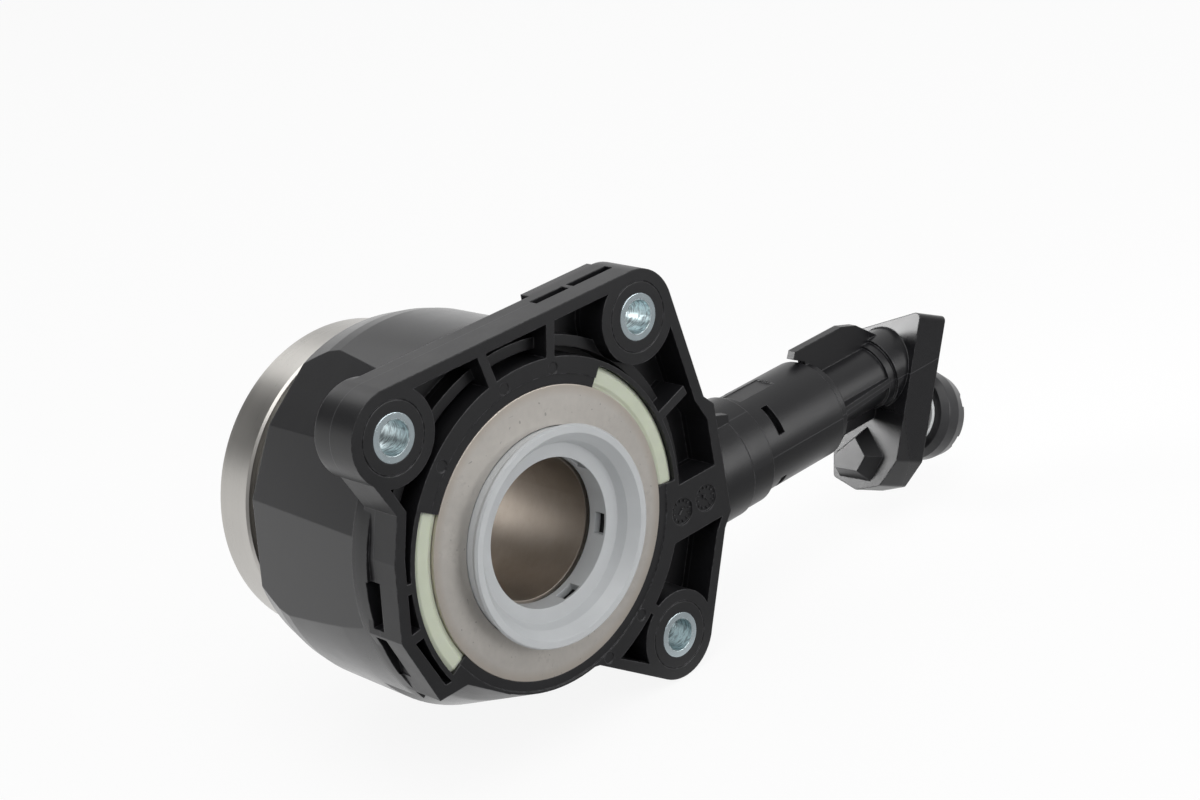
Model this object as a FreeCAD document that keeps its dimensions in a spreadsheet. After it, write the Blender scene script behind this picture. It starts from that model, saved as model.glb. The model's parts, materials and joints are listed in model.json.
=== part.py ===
import FreeCAD, Part
import math
import os

import Sketcher

# Concentric clutch slave cylinder with an inlet arm, in millimetres.
# Origin: centre of the mounting face on the bore axis. +X along the inlet arm,
# +Y from the mounting face towards the release bearing, +Z up.

doc = FreeCAD.newDocument("clutch_slave_cylinder")
sheet = doc.addObject("Spreadsheet::Sheet", "Sizes")
rows_used = 0


class Size:
    """A length or angle that knows its number and the sheet formula that gives it."""

    def __init__(self, value, text):
        self.value = value
        self.text = text

    def _join(self, other, sign, value):
        text = other.text if isinstance(other, Size) else repr(other)
        return Size(value, f"({self.text} {sign} {text})")

    def __add__(self, other):
        return self._join(other, "+", self.value + number(other))

    def __sub__(self, other):
        return self._join(other, "-", self.value - number(other))

    def __mul__(self, other):
        return self._join(other, "*", self.value * number(other))

    def __truediv__(self, other):
        return self._join(other, "/", self.value / number(other))

    def __neg__(self):
        return Size(-self.value, f"(0 - {self.text})")

    def __radd__(self, other):
        return Size(other, repr(other)) + self

    def __rsub__(self, other):
        return Size(other, repr(other)) - self

    def __rmul__(self, other):
        return self * other


def number(item):
    """The plain number of a size, or of a number."""
    return item.value if isinstance(item, Size) else item


def wave(kind, angle):
    """Sine or cosine of an angle in degrees, as a size."""
    reply = getattr(math, kind)(math.radians(number(angle)))
    text = angle.text if isinstance(angle, Size) else repr(angle)
    return Size(reply, f"{kind}({text} * 1 deg)")


def size(alias, value):
    """Writes one driving size into the sheet."""
    global rows_used
    rows_used += 1
    sheet.set(f"A{rows_used}", alias)
    sheet.set(f"B{rows_used}", str(value))
    sheet.setAlias(f"B{rows_used}", alias)
    return Size(value, f"Sizes.{alias}")


# Shaft passage and the drawn steel guide tube with its cup and flange.
tube_bore_r = size("tube_bore_radius", 14.2)
tube_wall = size("tube_wall", 1.2)
tube_end = size("tube_end_depth", 59.0)
cup_inner_r = size("cup_inner_radius", 20.8)
cup_depth = size("cup_depth", 7.2)
tube_flange_r = size("tube_flange_radius", 28.5)
tube_flange_thick = size("tube_flange_thickness", 1.6)
tube_flange_sink = size("tube_flange_sink", 0.15)

# Fits between pieces.
seat_gap = size("seat_gap", 0.05)
slide_gap = size("slide_gap", 0.06)
loose_gap = size("loose_gap", 0.3)

# Mounting flange of the housing.
flange_depth = size("flange_depth", 9.5)
flange_skin = size("flange_skin", 2.0)
flange_wall = size("flange_wall", 2.4)
eye_r = size("bolt_eye_radius", 9.3)
eye_depth = size("bolt_eye_depth", 10.7)
eye_spread = size("bolt_eye_half_spread", 30.5)
eye_height = size("bolt_eye_height", 32.5)
low_eye_x = size("low_eye_x", 27.1)
low_eye_z = size("low_eye_z", -34.7)
waist_x = size("flange_waist_x", 44.0)
waist_z = size("flange_waist_z", 10.5)
arm_side_x = size("arm_side_x", 46.4)
arm_side_top = size("arm_side_top", 8.0)
arm_side_low = size("arm_side_low", -15.5)
low_waist_z = size("low_waist_z", -18.5)
left_margin = size("left_side_margin", 4.4)
left_low_z = size("left_low_z", -5.0)
left_top_margin = size("left_top_margin", 2.3)
left_top_z = size("left_top_z", 9.8)
left_shoulder_step = size("left_shoulder_step", 0.5)
left_shoulder_z = size("left_shoulder_z", 18.4)
corner_x = size("low_corner_x", -32.8)
corner_z = size("low_corner_z", -19.4)
corner_inner_x = size("low_corner_inner_x", -26.0)
lip_thick = size("lip_thickness", 0.9)
lip_step_width = size("lip_step_width", 2.0)
lip_step_depth = size("lip_step_depth", 0.25)
seal_pad_width = size("face_seal_pad_width", 4.4)
lip_wall = size("lip_wall", 1.0)
seal_groove_depth = size("face_seal_groove_depth", 4.4)
seal_band_width = size("face_seal_band_width", 1.4)
rim_wall = size("front_rim_wall", 1.1)
pad_margin = size("seal_pad_margin", 1.5)
pad_rise = size("seal_pad_rise", 0.35)
window_one_start = size("window_one_start", -5.0)
window_two_start = size("window_two_start", 149.0)
window_span = size("window_span", 60.0)
rib = size("rib_thickness", 2.0)
band_gap = size("pocket_band_gap", 1.3)
band_wall = size("pocket_band_wall", 2.2)
band_depth = size("pocket_band_depth", 3.5)
panel_top = size("panel_top_z", -4.4)
panel_low = size("panel_low_z", -15.7)
mark_r = size("date_disc_radius", 2.8)
mark_depth = size("date_disc_depth", 0.4)
pin_mark_r = size("pin_mark_radius", 1.2)
fine_depth = size("fine_mark_depth", 0.2)

side_window_low = size("side_window_low_y", 5.0)
side_window_high = size("side_window_high_y", 8.0)
side_window_long = size("side_window_length", 9.2)
side_window_one_z = size("side_window_one_z", 0.8)
side_window_two_z = size("side_window_two_z", -10.2)
side_window_deep = size("side_window_depth", 6.0)
top_slot_start = size("top_slot_start_x", 10.8)
top_slot_middle = size("top_slot_middle_x", 19.3)
top_slot_end = size("top_slot_end_x", 30.8)
top_slot_y = size("top_slot_y", 5.0)
top_slot_tall = size("top_slot_height", 2.2)
top_rail_start = size("top_rail_start_x", 13.0)
top_rail_back = size("top_rail_depth", 12.0)
top_rail_tall = size("top_rail_height", 4.0)

# Steel limiter sleeves in the bolt eyes.
sleeve_outer_r = size("limiter_outer_radius", 4.6)
sleeve_bore_r = size("limiter_bore_radius", 3.3)
sleeve_proud = size("limiter_stand_out", 0.1)

# Bell round the spring and bearing.
bell_foot_r = size("bell_foot_radius", 38.0)
bell_foot_y = size("bell_foot_depth", 19.5)
bell_shoulder_start = size("bell_shoulder_start_angle", 40.0)
bell_shoulder_span = size("bell_shoulder_span", 175.0)
bell_knee_r = size("bell_knee_radius", 37.7)
bell_knee_y = size("bell_knee_depth", 38.5)
bell_mouth_r = size("bell_mouth_radius", 35.8)
bell_mouth_y = size("bell_mouth_depth", 47.5)
bell_bore_r = size("bell_bore_radius", 33.0)
flat_one_angle = size("flat_one_angle", 172.0)
flat_two_angle = size("flat_two_angle", 149.5)
flat_three_angle = size("flat_three_angle", 128.5)
flat_mouth = size("flat_mouth_distance", 34.0)
flat_foot = size("flat_foot_distance", 36.6)
flat_three_step = size("flat_three_step", 0.6)

# Cylinder, piston and stroke.
cylinder_wall = size("cylinder_wall", 3.2)
cylinder_mouth = size("cylinder_mouth_depth", 36.2)
floor_thick = size("floor_thickness", 2.4)
stroke = size("stroke", 12.0)
chamber_rest = size("chamber_length", 4.3)
seal_length = size("piston_seal_length", 4.2)
piston_skirt = size("piston_skirt_length", 9.0)
nose_wall = size("piston_nose_wall", 3.9)
ring_clear = size("stop_ring_clearance", 0.05)
stop_ring_wire = size("stop_ring_width", 1.5)
stop_ring_outer_r = size("stop_ring_outer_radius", 18.6)
o_ring_wire = size("tube_o_ring_wire", 1.5)
o_ring_y = size("tube_o_ring_depth", 4.6)

# Release bearing.
bearing_back = size("bearing_back_depth", 52.4)
bearing_front = size("bearing_front_depth", 62.4)
bearing_r = size("bearing_outer_radius", 32.5)
contact_front = size("contact_face_depth", 65.0)
ball_r = size("ball_radius", 2.75)
ball_pitch_r = size("ball_pitch_radius", 27.5)
ball_count = 16
race_gap = size("race_gap", 0.05)
shoulder = size("race_shoulder", 1.9)
inner_ring_bore_r = size("inner_ring_bore_radius", 22.4)
back_wall = size("bearing_back_wall", 1.5)
back_bore_r = size("bearing_back_bore_radius", 23.3)
carrier_thick = size("carrier_thickness", 1.6)
carrier_r = size("carrier_radius", 31.0)
clip_thick = size("bearing_clip_thickness", 0.8)

# Preload spring.
wire_r = size("spring_wire_radius", 1.3)
coil_r = size("spring_coil_radius", 28.4)
coil_halves = 6

# Small round seals.
garter_wire = size("garter_wire", 1.0)
carrier_window_deep = size("carrier_window_depth", 2.1)
carrier_window_tall = size("carrier_window_height", 2.6)
carrier_window_wide = size("carrier_window_width", 4.2)
carrier_window_y = size("carrier_window_y", 1.1)
port_seal_wire = size("port_seal_wire", 1.2)
port_seal_squeeze = size("port_seal_squeeze", 0.1)
inlet_ring_wire = size("inlet_ring_wire", 1.6)
inlet_groove = size("inlet_groove_offset", 5.5)

# Inlet arm.
arm_y = size("arm_depth", 12.6)
arm_z = size("arm_z", -10.9)
stub_r = size("stub_radius", 12.0)
stub_root_r = size("stub_root_radius", 12.4)
stub_root_end = size("stub_root_end_x", 55.0)
gusset_high = size("gusset_height", 3.6)
gusset_end = size("gusset_end_x", 55.0)
stub_end = size("stub_end_x", 61.0)
stub_bore_r = size("stub_bore_radius", 6.1)
stub_bore_floor = size("stub_bore_floor_x", 47.0)
channel_r = size("channel_radius", 1.6)
channel_y = size("channel_depth", 9.5)
nose_r = size("stub_nose_radius", 9.2)
nose_end = size("stub_nose_end_x", 74.0)
snap_sleeve_r = size("snap_sleeve_radius", 11.0)
snap_sleeve_end = size("snap_sleeve_end_x", 84.6)
collar_wide_r = size("inlet_collar_radius", 9.2)
pipe_r = size("inlet_pipe_radius", 7.0)
pipe_channel_r = size("inlet_channel_radius", 2.2)
ring_step = size("pipe_ring_step", 0.6)
ring_one_back = size("pipe_ring_one_distance", 5.6)
ring_two_back = size("pipe_ring_two_distance", 3.4)
fin_thick = size("fin_thickness", 2.0)
fin_top_z = size("fin_top_z", 3.2)
fin_reach = size("side_fin_reach", 10.0)
plate_x = size("plate_x", 109.0)
plate_tilt = size("plate_tilt", 25.0)
plate_thick = size("plate_thickness", 9.0)
plate_half = size("plate_half_width", 9.0)
plate_top = size("plate_top", 13.9)
plate_low = size("plate_low", -27.6)
plate_top_slope = size("plate_top_slope", 7.0)
plate_far_chamfer = size("plate_far_chamfer", 7.2)
plate_near_chamfer = size("plate_near_chamfer", 8.4)
plate_boss_high = size("plate_boss_height", 4.0)
plate_wall = size("plate_wall", 2.2)
plate_floor = size("plate_floor", 3.0)
plate_round = size("plate_corner_radius", 1.2)
port_drop = size("port_drop", 9.6)
port_neck_r = size("port_neck_radius", 5.4)
port_neck_end = size("port_neck_end", 22.4)
port_bore_r = size("port_bore_radius", 3.4)
port_bore_floor = size("port_bore_floor", 5.5)
port_tip_step = size("port_tip_step", 0.5)
port_bead_r = size("port_bead_radius", 5.9)
port_bead_start = size("port_bead_start", 15.0)
release_travel = size("release_travel", 1.8)
port_collar_r = size("port_collar_radius", 10.3)
port_collar_start = size("port_collar_start", 13.0)
port_collar_end = size("port_collar_end", 23.6)

# Sizes that follow from the ones above.
seal_groove_r = tube_flange_r + seal_pad_width
seal_band_r = tube_flange_r + seal_band_width
rim_r = seal_band_r + rim_wall
lip_r = seal_groove_r + lip_wall
lip_step_r = tube_flange_r + lip_step_width
band_inner_r = lip_r + band_gap
band_outer_r = band_inner_r + band_wall
left_x = -(lip_r + left_margin)
left_top_x = -(lip_r + left_top_margin)
left_shoulder_x = -(lip_r - left_shoulder_step)
tube_flange_back = tube_flange_sink + tube_flange_thick
tube_r = tube_bore_r + tube_wall
cup_outer_r = cup_inner_r + tube_wall
bore_r = cup_outer_r + seat_gap
cylinder_r = bore_r + cylinder_wall
eyes = {
    "a": (-eye_spread, eye_height),
    "b": (eye_spread, eye_height),
    "c": (low_eye_x, low_eye_z),
}
seal_back = cup_depth + chamber_rest + stroke
piston_back = seal_back + seal_length
piston_shoulder = bearing_back - carrier_thick
piston_r = bore_r - slide_gap
piston_bore_r = tube_r + slide_gap
piston_nose_r = tube_r + nose_wall
stop_ring_y = tube_end - stop_ring_wire * 1.5
port_tip_r = port_bore_r - port_tip_step
port_seal_y = port_bore_floor + port_seal_wire * 1.5
port_groove_r = port_bore_r + port_seal_wire - port_seal_squeeze
ball_y = bearing_back + back_wall + clip_thick + race_gap * 6 + ball_r
V = FreeCAD.Vector


def bind(item, name, value):
    """Sets one property of an object, and ties it to the sheet when it is a size."""
    if isinstance(value, Size):
        item.setExpression(name, value.text)
    else:
        setattr(item, name, value)


def place(item, x=0, y=0, z=0, turn=(V(0, 0, 1), 0)):
    """Puts an object at a point, turned about an axis by a number of degrees."""
    item.Placement = FreeCAD.Placement(
        V(number(x), number(y), number(z)), FreeCAD.Rotation(turn[0], number(turn[1]))
    )
    for way, value in (("x", x), ("y", y), ("z", z)):
        if isinstance(value, Size):
            item.setExpression(f"Placement.Base.{way}", value.text)
    if isinstance(turn[1], Size):
        item.setExpression("Placement.Rotation.Angle", turn[1].text)
    return item


def new_body(name):
    """An empty body."""
    body = doc.addObject("PartDesign::Body", name)
    body.Label = name
    return body


def outline(body, name, role, corners):
    """A closed sketch of straight lines on one of the body's own planes, each corner tied to sizes."""
    sketch = body.newObject("Sketcher::SketchObject", name)
    plane = next(p for p in body.Origin.OriginFeatures if p.Role == role)
    sketch.AttachmentSupport = (plane, [""])
    sketch.MapMode = "FlatFace"
    points = [V(number(x), number(y), 0) for x, y in corners]
    for here, there in zip(points, points[1:] + points[:1]):
        sketch.addGeometry(Part.LineSegment(here, there), False)
    for i in range(len(points)):
        after = (i + 1) % len(points)
        sketch.addConstraint(Sketcher.Constraint("Coincident", i, 2, after, 1))
    for i, corner in enumerate(corners):
        for kind, value in zip(("DistanceX", "DistanceY"), corner):
            rule = sketch.addConstraint(
                Sketcher.Constraint(kind, -1, 1, i, 1, number(value))
            )
            if isinstance(value, Size):
                sketch.setExpression(f"Constraints[{rule}]", value.text)
    return sketch


def revolve(body, name, corners, kind="Revolution"):
    """A full turn of an (r, y) outline about the body's Y axis."""
    sketch = outline(body, f"{name}_outline", "XY_Plane", corners)
    turned = body.newObject(f"PartDesign::{kind}", name)
    turned.Profile = sketch
    turned.ReferenceAxis = (sketch, ["V_Axis"])
    turned.Angle = 360
    body.Tip = turned
    return turned


def turned_piece(name, corners):
    """A body made by one full turn."""
    body = new_body(name)
    revolve(body, f"{name}_turn", corners)
    return body


def pad(body, name, role, corners, length, back=False):
    """A straight pad of an outline."""
    sketch = outline(body, f"{name}_outline", role, corners)
    raised = body.newObject("PartDesign::Pad", name)
    raised.Profile = sketch
    bind(raised, "Length", length)
    raised.Reversed = back
    body.Tip = raised
    return raised


def prism(name, corners, start, depth):
    """A body with an (x, z) outline that runs along +Y from start."""
    body = new_body(name)
    pad(body, f"{name}_pad", "XZ_Plane", corners, depth, back=True)
    return place(body, y=start)


def cylinder(name, radius, length, x=0, y=0, z=0, along="y"):
    """A plain cylinder that starts at a point and runs along +X or +Y."""
    rod = doc.addObject("Part::Cylinder", name)
    bind(rod, "Radius", radius)
    bind(rod, "Height", length)
    turn = (V(1, 0, 0), -90) if along == "y" else (V(0, 1, 0), 90)
    return place(rod, x, y, z, turn)


def box(name, lengths, x=0, y=0, z=0, turn=(V(0, 0, 1), 0)):
    """A block whose lowest corner is at a point before it is turned."""
    block = doc.addObject("Part::Box", name)
    for side, length in zip(("Length", "Width", "Height"), lengths):
        bind(block, side, length)
    return place(block, x, y, z, turn)


def join(name, pieces, kind="MultiFuse"):
    """Several shapes fused, or the part that they share."""
    item = doc.addObject(f"Part::{kind}", name)
    item.Shapes = pieces
    return item


def carve(name, base, tools):
    """A shape with the tools cut out of it one by one, each checked to have taken volume away."""
    for i, tool in enumerate(tools):
        last = i == len(tools) - 1
        item = doc.addObject("Part::Cut", name if last else f"{name}_cut_{i}")
        item.Base = base
        item.Tool = tool
        doc.recompute()
        if item.Shape.isNull() or not item.Shape.Volume < base.Shape.Volume - 1e-3:
            raise ValueError(f"{tool.Name} cuts nothing from {base.Name}")
        base = item
    return item


def sector(name, inner, outer, start, depth, angle, span):
    """A sector of a ring that starts at an angle from +X towards +Z, and runs along +Y."""
    body = new_body(name)
    sketch = outline(
        body,
        f"{name}_outline",
        "XY_Plane",
        [(inner, 0), (outer, 0), (outer, depth), (inner, depth)],
    )
    turned = body.newObject("PartDesign::Revolution", f"{name}_turn")
    turned.Profile = sketch
    turned.ReferenceAxis = (sketch, ["V_Axis"])
    bind(turned, "Angle", span)
    turned.Reversed = True
    body.Tip = turned
    return place(body, y=start, turn=(V(0, -1, 0), angle))


def flange_corners(inset):
    """The flange's outline in (x, z), moved inwards by a wall."""
    top = eye_height + eye_r - inset
    side_x, side_z = wave("cos", 9.0), wave("sin", 9.0)
    low_x, low_z = wave("cos", 27.0), wave("sin", 27.0)
    heel_x, heel_z = wave("cos", 54.5), wave("sin", 54.5)
    flank_x, flank_z = wave("cos", 47.0), wave("sin", 47.0)
    near = eye_r - inset
    return [
        (-eye_spread, top),
        (eye_spread, top),
        (eye_spread + near * side_x, eye_height + near * side_z),
        (waist_x - inset, waist_z),
        (arm_side_x - inset, arm_side_top - inset),
        (arm_side_x - inset, arm_side_low),
        (waist_x - inset, low_waist_z),
        (low_eye_x + near * low_x, low_eye_z - near * low_z),
        (low_eye_x - near * heel_x, low_eye_z - near * heel_z),
        (rim_r * 0.18, -(rim_r - inset)),
        (-rim_r * 0.55, -(rim_r - inset) * 0.84),
        (corner_inner_x, corner_z + inset),
        (corner_x + inset * 0.8, corner_z + inset),
        (left_x + inset, left_low_z),
        (left_top_x + inset, left_top_z),
        (left_shoulder_x + inset * 0.9, left_shoulder_z),
        (-eye_spread - near * flank_x, eye_height - near * flank_z),
    ]


def make_housing():
    """The glass-filled moulding: mounting flange, bell, cylinder and inlet stub."""
    solid_parts = [prism("flange_plate", flange_corners(0), 0, flange_depth)]
    for tag, (x, z) in eyes.items():
        solid_parts.append(cylinder(f"eye_{tag}", eye_r, eye_depth, x, 0, z))
    rail = box(
        "top_rail",
        (eye_spread - top_rail_start, top_rail_back - flange_depth + flange_skin, top_rail_tall),
        top_rail_start,
        flange_depth - flange_skin,
        eye_height + eye_r - top_rail_tall,
    )
    solid_parts.append(rail)
    bell = new_body("bell")
    revolve(
        bell,
        "bell_turn",
        [
            (0, 0),
            (rim_r, 0),
            (bell_foot_r, bell_foot_y),
            (bell_knee_r, bell_knee_y),
            ((bell_knee_r * 3 + bell_mouth_r) / 4, (bell_knee_y * 5 + bell_mouth_y * 3) / 8),
            (bell_mouth_r, bell_mouth_y),
            (0, bell_mouth_y),
        ],
    )
    flat_start = flange_depth + floor_thick
    shoulder = sector(
        "bell_shoulder",
        rim_r,
        bell_foot_r,
        flange_depth - flange_skin,
        bell_foot_y - flange_depth + flange_skin,
        bell_shoulder_start,
        bell_shoulder_span,
    )
    full_bell = join("full_bell", [bell, shoulder])
    flats = []
    for tag, angle, extra in (
        ("one", flat_one_angle, 0),
        ("two", flat_two_angle, 0),
        ("three", flat_three_angle, flat_three_step),
    ):
        wedge = new_body(f"flat_{tag}")
        pad(
            wedge,
            f"flat_{tag}_pad",
            "XY_Plane",
            [
                (flat_foot + extra, flat_start),
                (bell_foot_r + 8, flat_start),
                (bell_foot_r + 8, bell_mouth_y + 1),
                (flat_mouth + extra, bell_mouth_y + 1),
            ],
            bell_foot_r * 0.9,
        )
        wedge.Group[-1].Midplane = True
        place(wedge, turn=(V(0, -1, 0), angle))
        flats.append(wedge)
    faceted = carve("faceted_bell", full_bell, flats)
    inside = new_body("bell_inside")
    revolve(
        inside,
        "bell_inside_turn",
        [
            (cylinder_r, flange_depth + floor_thick),
            (bell_bore_r, flange_depth + floor_thick),
            (bell_bore_r, bell_mouth_y + 1),
            (0, bell_mouth_y + 1),
            (0, cylinder_mouth),
            (cylinder_r, cylinder_mouth),
        ],
    )
    stub = turned_piece(
        "stub_outside",
        [
            (0, bore_r),
            (stub_root_r, bore_r),
            (stub_root_r, stub_root_end - stub_root_r + stub_r),
            (stub_r, stub_root_end),
            (stub_r, stub_end),
            (0, stub_end),
        ],
    )
    along_arm(stub)
    gusset = new_body("stub_gusset")
    pad(
        gusset,
        "stub_gusset_pad",
        "XZ_Plane",
        [
            (arm_side_x - flange_wall, arm_z),
            (gusset_end, arm_z),
            (gusset_end, arm_z + stub_r),
            (arm_side_x - flange_wall, arm_z + stub_r + gusset_high),
        ],
        rib,
    )
    gusset.Group[-1].Midplane = True
    place(gusset, y=arm_y - stub_r * 0.5)
    nose = cylinder("stub_nose", nose_r, nose_end - stub_end, stub_end, arm_y, arm_z, "x")
    lip_disc = cylinder("lip_disc", lip_r, flange_depth)
    lip_field = prism("lip_field", flange_corners(0), 0, flange_depth)
    ring_wall = join("lip_ring", [lip_disc, lip_field], "MultiCommon")
    whole = join("housing_mass", solid_parts + [ring_wall, faceted, stub, gusset, nose])

    tools = [inside]
    bore = turned_piece(
        "housing_bore",
        [
            (0, -1),
            (tube_flange_r + seat_gap, -1),
            (tube_flange_r + seat_gap, tube_flange_back),
            (bore_r, tube_flange_back),
            (bore_r, bell_mouth_y + 1),
            (0, bell_mouth_y + 1),
        ],
    )
    tools.append(bore)
    groove = turned_piece(
        "face_seal_groove",
        [
            (tube_flange_r + seat_gap, lip_thick),
            (seal_band_r, lip_thick),
            (seal_band_r, seal_groove_depth),
            (tube_flange_r + seat_gap, seal_groove_depth),
        ],
    )
    tools.append(groove)
    for tag, start in (("one", window_one_start), ("two", window_two_start)):
        tools.append(
            sector(
                f"seal_pad_space_{tag}",
                tube_flange_r + seat_gap,
                seal_groove_r,
                lip_thick,
                seal_groove_depth - lip_thick,
                start - pad_margin,
                window_span + pad_margin * 2,
            )
        )
    tools.append(
        turned_piece(
            "o_ring_groove",
            [
                (bore_r - 1, o_ring_y - o_ring_wire * 0.6),
                (cup_outer_r + o_ring_wire + seat_gap, o_ring_y - o_ring_wire * 0.6),
                (cup_outer_r + o_ring_wire + seat_gap, o_ring_y + o_ring_wire * 0.6),
                (bore_r - 1, o_ring_y + o_ring_wire * 0.6),
            ],
        )
    )
    for tag, start in (("one", window_one_start), ("two", window_two_start)):
        tools.append(
            sector(
                f"window_{tag}",
                tube_flange_r,
                seal_groove_r,
                -0.5,
                lip_thick + 1,
                start,
                window_span,
            )
        )
    tools.append(
        turned_piece(
            "lip_step",
            [
                (tube_flange_r, -0.5),
                (lip_step_r, -0.5),
                (lip_step_r, lip_step_depth),
                (tube_flange_r, lip_step_depth),
            ],
        )
    )
    for tag, (x, z) in eyes.items():
        tools.append(
            cylinder(
                f"eye_bore_{tag}", sleeve_outer_r + seat_gap, eye_depth + 2, x, -1, z
            )
        )
    channel = cylinder(
        "channel", channel_r, stub_bore_floor + 1 - tube_r, tube_r, channel_y, arm_z, "x"
    )
    spigot_bore = cylinder(
        "spigot_bore", stub_bore_r, nose_end, stub_bore_floor, arm_y, arm_z, "x"
    )
    tools += [channel, spigot_bore, make_pockets(), make_face_marks()]
    tools += make_side_windows()
    return carve("housing", whole, tools)


def make_side_windows():
    """Openings through the flange's left and top walls into the pockets behind them."""
    tall = side_window_high - side_window_low
    windows = []
    for i, middle in enumerate((side_window_one_z, side_window_two_z)):
        windows.append(
            box(
                f"side_window_{i}",
                (side_window_deep, tall, side_window_long),
                left_x - 2,
                side_window_low,
                middle - side_window_long / 2,
            )
        )
    top = eye_height + eye_r
    for i, (start, end) in enumerate(
        ((top_slot_start, top_slot_middle), (top_slot_middle + 1.0, top_slot_end))
    ):
        windows.append(
            box(
                f"top_slot_{i}",
                (end - start, top_slot_tall, flange_wall + 2),
                start,
                top_slot_y,
                top - flange_wall - 1,
            )
        )
    return windows


def make_pockets():
    """The cored-out pockets of the mounting face, with the ribs and eyes left standing."""
    depth = flange_depth - flange_skin
    core = prism("pocket_core", flange_corners(flange_wall), -0.5, depth + 0.5)
    keep = [cylinder("keep_ring", lip_r, depth + 2, 0, -1, 0)]
    for tag, (x, z) in eyes.items():
        keep.append(cylinder(f"keep_eye_{tag}", eye_r, depth + 2, x, -1, z))
    band = turned_piece(
        "keep_band",
        [
            (band_inner_r, band_depth),
            (band_outer_r, band_depth),
            (band_outer_r, depth + 2),
            (band_inner_r, depth + 2),
        ],
    )
    panel = box(
        "keep_panel",
        (arm_side_x, depth + 2, panel_top - panel_low),
        rim_r - 4,
        -1,
        panel_low,
    )
    keep += [band, panel]
    reach = eye_height + eye_r
    for tag, angle in (
        ("top_left", 101.5),
        ("top_right", 77.0),
        ("right", 19.3),
        ("left_upper", 173.0),
        ("left_lower", 188.5),
        ("low", 309.5),
    ):
        spoke = box(
            f"keep_rib_{tag}",
            (reach - rim_r, depth + 2, rib),
            rim_r * wave("cos", angle) + rib / 2 * wave("sin", angle),
            -1,
            rim_r * wave("sin", angle) - rib / 2 * wave("cos", angle),
            (V(0, -1, 0), angle),
        )
        keep.append(spoke)
    return carve("pockets", core, keep)


def make_face_marks():
    """Shallow round marks of the mould on the mounting face."""
    marks = []
    disc_z = (panel_top + panel_low) / 2
    for i, x in enumerate((rim_r + 2.4, rim_r + 9.2)):
        marks.append(cylinder(f"disc_mark_{i}", mark_r, mark_depth + 1, x, -1, disc_z))
    mark_circle = tube_flange_r + 3.2
    for i, angle in enumerate((76.0, 98.0, 133.0, 305.0, 285.0)):
        marks.append(
            cylinder(
                f"pin_mark_{i}",
                pin_mark_r,
                fine_depth + 1,
                mark_circle * wave("cos", angle),
                -1,
                mark_circle * wave("sin", angle),
            )
        )
    for tag, (x, z) in eyes.items():
        ring = turned_piece(
            f"eye_ring_mark_{tag}",
            [
                (sleeve_outer_r + 2.2, -1),
                (sleeve_outer_r + 2.4, -1),
                (sleeve_outer_r + 2.4, fine_depth),
                (sleeve_outer_r + 2.2, fine_depth),
            ],
        )
        marks.append(place(ring, x, 0, z))
    return join("face_marks", marks)


def make_bolt_sleeves():
    """Three steel sleeves that keep the bolts from crushing the plastic."""
    sleeves = []
    length = eye_depth + sleeve_proud * 2
    for tag, (x, z) in eyes.items():
        outside = cylinder(f"limiter_{tag}", sleeve_outer_r, length, x, -sleeve_proud, z)
        hole = cylinder(f"limiter_hole_{tag}", sleeve_bore_r, length + 2, x, -1, z)
        sleeves.append(carve(f"limiter_sleeve_{tag}", outside, [hole]))
    group = doc.addObject("Part::Compound", "bolt_sleeves")
    group.Links = sleeves
    return group


def make_guide_tube():
    """Drawn steel tube with a cup for the shaft seal and a flange that sits in the housing."""
    groove_y = stop_ring_y
    body = turned_piece(
        "guide_tube",
        [
            (cup_inner_r, tube_flange_sink),
            (tube_flange_r, tube_flange_sink),
            (tube_flange_r, tube_flange_back - seat_gap),
            (cup_outer_r, tube_flange_back - seat_gap),
            (cup_outer_r, cup_depth),
            (tube_r, cup_depth),
            (tube_r, groove_y),
            (tube_r - 0.4, groove_y),
            (tube_r - 0.4, groove_y + stop_ring_wire),
            (tube_r, groove_y + stop_ring_wire),
            (tube_r, tube_end),
            (tube_bore_r, tube_end),
            (tube_bore_r, cup_depth - tube_wall),
            (cup_inner_r, cup_depth - tube_wall),
        ],
    )
    return body


def round_ring(name, radius, y, wire):
    """A ring of round wire or cord, with an eight-sided section that has its corners in and out."""
    corners = []
    for i in range(8):
        angle = 45 * i
        corners.append(
            (radius + wire / 2 * wave("cos", angle), y + wire / 2 * wave("sin", angle))
        )
    return turned_piece(name, corners)


def make_tube_o_ring():
    """Rubber ring that seals the cup of the guide tube in the housing bore."""
    middle = cup_outer_r + (o_ring_wire + seat_gap) / 2
    return round_ring("tube_o_ring", middle, o_ring_y, o_ring_wire)


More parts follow.
